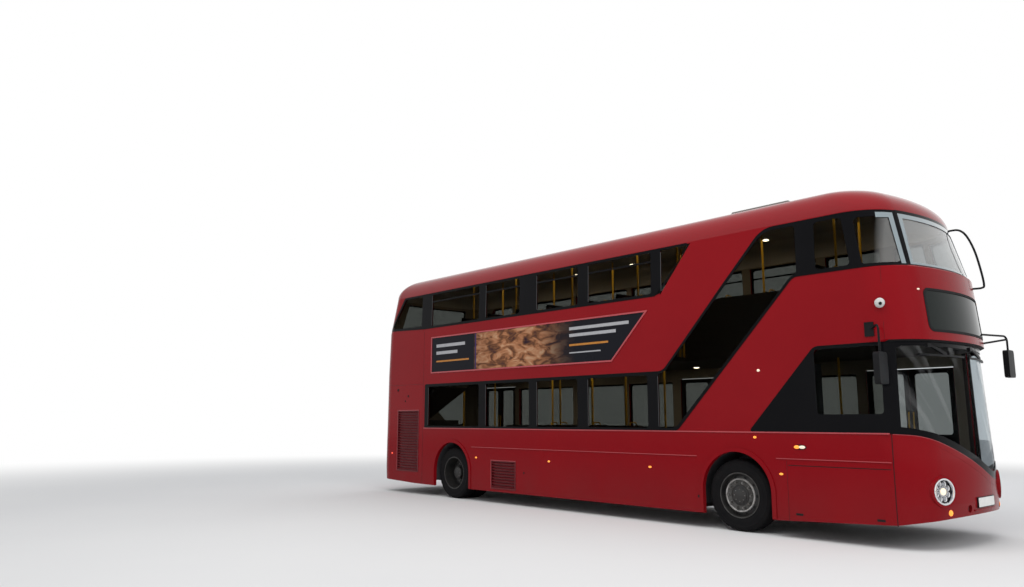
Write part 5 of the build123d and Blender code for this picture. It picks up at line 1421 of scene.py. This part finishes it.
# Loop on the gangway corner of a backrest
LOOP = [(-0.462, -0.085, 0.985), (-0.464, -0.080, 1.030), (-0.462, -0.060, 1.048), (-0.462, 0.060, 1.048),
        (-0.464, 0.080, 1.030), (-0.462, 0.085, 0.985)]
shell = mesh_of(slab(0.2145, SHELL, 0.003), 40)
piping = joined([piping_cord(0.395, (-0.370, 0.460), (0.027, 0.452)),
                 piping_cord(0.490, (-0.370, 0.484), (-0.427, 0.974))])
for node_name in ("lower_seats", "upper_seats"):
    pads, pairs, loops = [], [], []
    for row_node, deck, side, first_x, rows in SEAT_ROWS:
        if row_node == node_name:
            for row in range(rows):
                front_x = first_x - row * SEAT_PITCH
                pairs.append((front_x, side * PAIR_MIDDLE, deck))
                pads += [(front_x, side * (PAIR_MIDDLE + shift), deck) for shift in (-SEAT_OFFSET, SEAT_OFFSET)]
                loops.append((front_x, side * (PAIR_MIDDLE - SEAT_OFFSET), deck))
    word = node_name[:-1]
    for label, item, places, key, slot_name in (
            (word + "_cushions", cushion, pads, "moquette", "seat_cloth"),
            (word + "_backs", backrest, pads, "moquette", "seat_cloth"),
            (word + "_piping", piping, pads, "piping", "seat_cloth"),
            (word + "_shells", shell, pads, "seat_shell", "cab_plastic"),
            (word + "_frames", pair_frame(), pairs, "iron", "frame_steel"),
            (word + "_loops", rod(LOOP, 0.011, True, 2), loops, "rail", "yellow_rail")):
        made = repeated(label, item, places, key, smooth=60)
        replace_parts(made, node_name)

# The driver's seat: the same pads, wider, on a pedestal with bellows
driver_at = Matrix.Translation((4.400, -0.720, 0.460)) @ Matrix.Diagonal((1.0, 1.12, 1.0, 1.0))
for label, item in (("driver_cushion", cushion), ("driver_back", backrest)):
    made = piece_from(label, item.copy(), "driver_cloth")
    made.data.transform(driver_at)
    made.data.shade_smooth()
    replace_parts(made, "driver_seat")
for label, item, key in (("driver_shell", shell, "seat_shell"), ("driver_piping", piping, "piping")):
    made = piece_from(label, item.copy(), key)
    made.data.transform(driver_at)
    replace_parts(made, "driver_seat")
pleats = [(0.0, 0.0)]
for fold in range(7):
    low = 0.060 + fold * 0.042
    pleats += [(0.132, low), (0.150, low + 0.021)]
pleats += [(0.132, 0.354), (0.0, 0.354)]
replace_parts(turned("driver_bellows", pleats, 48, (0, 0, 0), "rubber", axis="Z", smooth=30,
                   matrix=Matrix.Translation((4.250, -0.720, 0.470))), "driver_seat")
base = block((4.105, -0.865, 0.360), (4.395, -0.575, 0.478), 0.012)
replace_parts(piece_from("driver_pedestal", mesh_of(base, 35), "cab"), "driver_seat")
print("driver's seat placed")

# %% [markdown]
# ## Inside: lamps, stair edges and window bars
#
# Little of the inside shows through tinted glass, but what shows gives the bus its
# depth: a line of warm round lamps under each ceiling, pale edges on the stair treads,
# and a bar across each upper window where its flap opens.

# %% Fit the inside
roof = nodes["roof"].data
roof_tree = BVHTree.FromPolygons([vert.co for vert in roof.vertices], [tuple(face.vertices) for face in roof.polygons])
# Heights from which the upper ceiling is looked for, and of the lower ceiling; radius of each lamp
LOOK_UP_FROM, LOWER_CEILING, LAMP_RADIUS = 3.90, 2.3395, 0.048
lamps = []
for x in (-4.55, -3.05, -1.65, -0.25, 1.10, 2.50, 3.85, 4.80):
    for y in (-0.72, 0.72):
        place, normal, *rest = roof_tree.ray_cast(Vector((x, y, LOOK_UP_FROM)), Vector((0, 0, 1)))
        if place:
            down = normal if normal.z < 0 else -normal
            lamps.append(dome(LAMP_RADIUS, 0.014, matrix=facing_matrix(place, down)))
upside_down = Matrix.Rotation(math.pi, 4, "X")
for x in (-3.60, -2.90, -1.55, -0.30, 1.00, 2.60):
    for y in (-0.40, 0.85):
        lamps.append(dome(LAMP_RADIUS, 0.012, matrix=Matrix.Translation((x, y, LOWER_CEILING)) @ upside_down))
print("ceiling lamps:", len(lamps))
piece_from("ceiling_lamps", joined(lamps), "warm_lamp")

# Flights: start, end, foot height, head height, treads, span across, and whether it climbs along X
FLIGHTS = [(1.720, 3.760, 0.360, 2.400, 9, (-1.195, -0.505), True), (-5.020, -3.560, 1.450, 2.400, 6,
           (-1.195, -0.505), True), (0.560, -0.500, 0.360, 1.450, 5, (-5.465, -5.005), False)]
edges = bmesh.new()
for start, end, low, high, treads, span, along_x in FLIGHTS:
    run, rise = (end - start) / treads, (high - low) / (treads + 1)
    for step in range(treads):
        edge, top = start + step * run, low + (step + 1) * rise
        near, far = sorted((edge - math.copysign(0.003, run), edge + math.copysign(0.034, run)))
        corners = ((near, span[0], top - 0.012), (far, span[1], top + 0.003))
        if not along_x:
            corners = ((span[0], near, top - 0.012), (span[1], far, top + 0.003))
        block(*corners, 0.0015, edges)
piece_from("stair_edges", mesh_of(edges, 35), "nosing")

FLAP_BARS = {"offside": [(-3.800, -2.316), (-2.122, -1.192), (-0.761, 0.215), (0.444, 1.721)],
             "nearside": [(-3.800, -2.316), (-2.122, -0.825), (-0.640, 0.215), (0.444, 1.721), (1.932, 3.050)]}
for face, spans in FLAP_BARS.items():
    for index, (low, high) in enumerate(spans):
        skin_sheet("flap_bar_" + face + "_" + str(index), face, box_outline(low, high, 3.780, 3.808), "border",
                   lift=-0.001, thick=0.006)
print("inside fitted")

# %% [markdown]
# ## The floor, the light and the background
#
# A pale floor and backdrop keep the eye on the bus. Broad soft lamps light it, and
# stay out of its gloss. The camera, and glass and gloss too, see white where there is
# no bus, and only the other rays see the darker world that lights it.

# %% Set the stage
FLOOR_TONE, MELT_FROM, MELT_TO = 0.78, 9.0, 24.0
# The floor melts, to the camera alone, into the white background between two distances
ground = finish_of("pale floor", (FLOOR_TONE,) * 3, (FLOOR_TONE * 0.96, FLOOR_TONE * 0.96, FLOOR_TONE * 0.97), 0.85,
                   0.4, 0.4)
tree = ground.node_tree
distance = vector_calc(tree, "LENGTH", object_place(tree), out="Value")
melt = ranged(tree, distance, MELT_FROM, MELT_TO, interpolation_type="SMOOTHSTEP")
shown = calc(tree, "MULTIPLY", melt, node(tree, "ShaderNodeLightPath").outputs["Is Camera Ray"])
white = node(tree, "ShaderNodeEmission", {"Color": (1, 1, 1, 1), "Strength": 1.0}).outputs["Emission"]
both = node(tree, "ShaderNodeMixShader", {"Fac": shown, 1: tree.nodes["Principled BSDF"].outputs["BSDF"], 2: white})
tree.links.new(both.outputs["Shader"], tree.nodes["Material Output"].inputs["Surface"])

floor_shape = bmesh.new()
bmesh.ops.create_grid(floor_shape, x_segments=1, y_segments=1, size=60.0)
floor_mesh = bpy.data.meshes.new("floor")
floor_shape.to_mesh(floor_mesh)
floor_shape.free()
floor_mesh.materials.append(ground)
floor = linked("floor", floor_mesh)

world = bpy.data.worlds.new("world")
scene.world = world
world.use_nodes = True
sky = world.node_tree
background = sky.nodes["Background"]
rays = node(sky, "ShaderNodeLightPath").outputs
seen = calc(sky, "MAXIMUM", rays["Is Camera Ray"], rays["Is Glossy Ray"])
seen = calc(sky, "MAXIMUM", seen, rays["Is Transmission Ray"])
WORLD_TONE, WORLD_POWER = (0.95, 0.97, 1.0, 1), 0.55
background.inputs["Color"].default_value = WORLD_TONE
background.inputs["Strength"].default_value = WORLD_POWER
plain = node(sky, "ShaderNodeBackground", {"Color": (1, 1, 1, 1), "Strength": 1.0}).outputs["Background"]
mixed = node(sky, "ShaderNodeMixShader", {"Fac": seen, 1: background.outputs["Background"], 2: plain})
sky.links.new(mixed.outputs["Shader"], sky.nodes["World Output"].inputs["Surface"])

# Lamps: name, place, aim, width, height, power, colour
LAMPS = [
    ("sky_panel", (4.0, -6.0, 11.0), (0.0, 0.0, 1.5), 14.0, 8.0, 900.0, (1.0, 0.99, 0.97)),
    ("front_panel", (14.0, -3.0, 6.0), (3.0, 0.0, 2.0), 6.0, 5.0, 260.0, (0.95, 0.97, 1.0)),
    ("kerb_panel", (-4.0, 10.0, 8.0), (0.0, 0.0, 1.8), 12.0, 6.0, 500.0, (0.95, 0.97, 1.0)),
    ("upper_saloon", (0.0, 0.0, 4.20), (0.0, 0.0, 2.4), 9.0, 0.8, 50.0, (1.0, 0.80, 0.55)),
    ("lower_saloon", (-0.5, 0.0, 2.32), (-0.5, 0.0, 0.4), 6.5, 0.8, 30.0, (1.0, 0.84, 0.62)),
]
for label, place, aim, width, height, power, colour in LAMPS:
    lamp = bpy.data.lights.new(label, "AREA")
    lamp.shape = "RECTANGLE"
    lamp.size, lamp.size_y, lamp.energy, lamp.color = width, height, power, colour
    holder = linked(label, lamp)
    holder.location = place
    holder.rotation_euler = (Vector(aim) - Vector(place)).to_track_quat("-Z", "Y").to_euler()
    # The lamps light the bus, and are not seen themselves
    holder.visible_glossy = holder.visible_camera = holder.visible_transmission = False
scene.view_settings.view_transform = "Standard"
print("stage set with", len(LAMPS), "lamps")
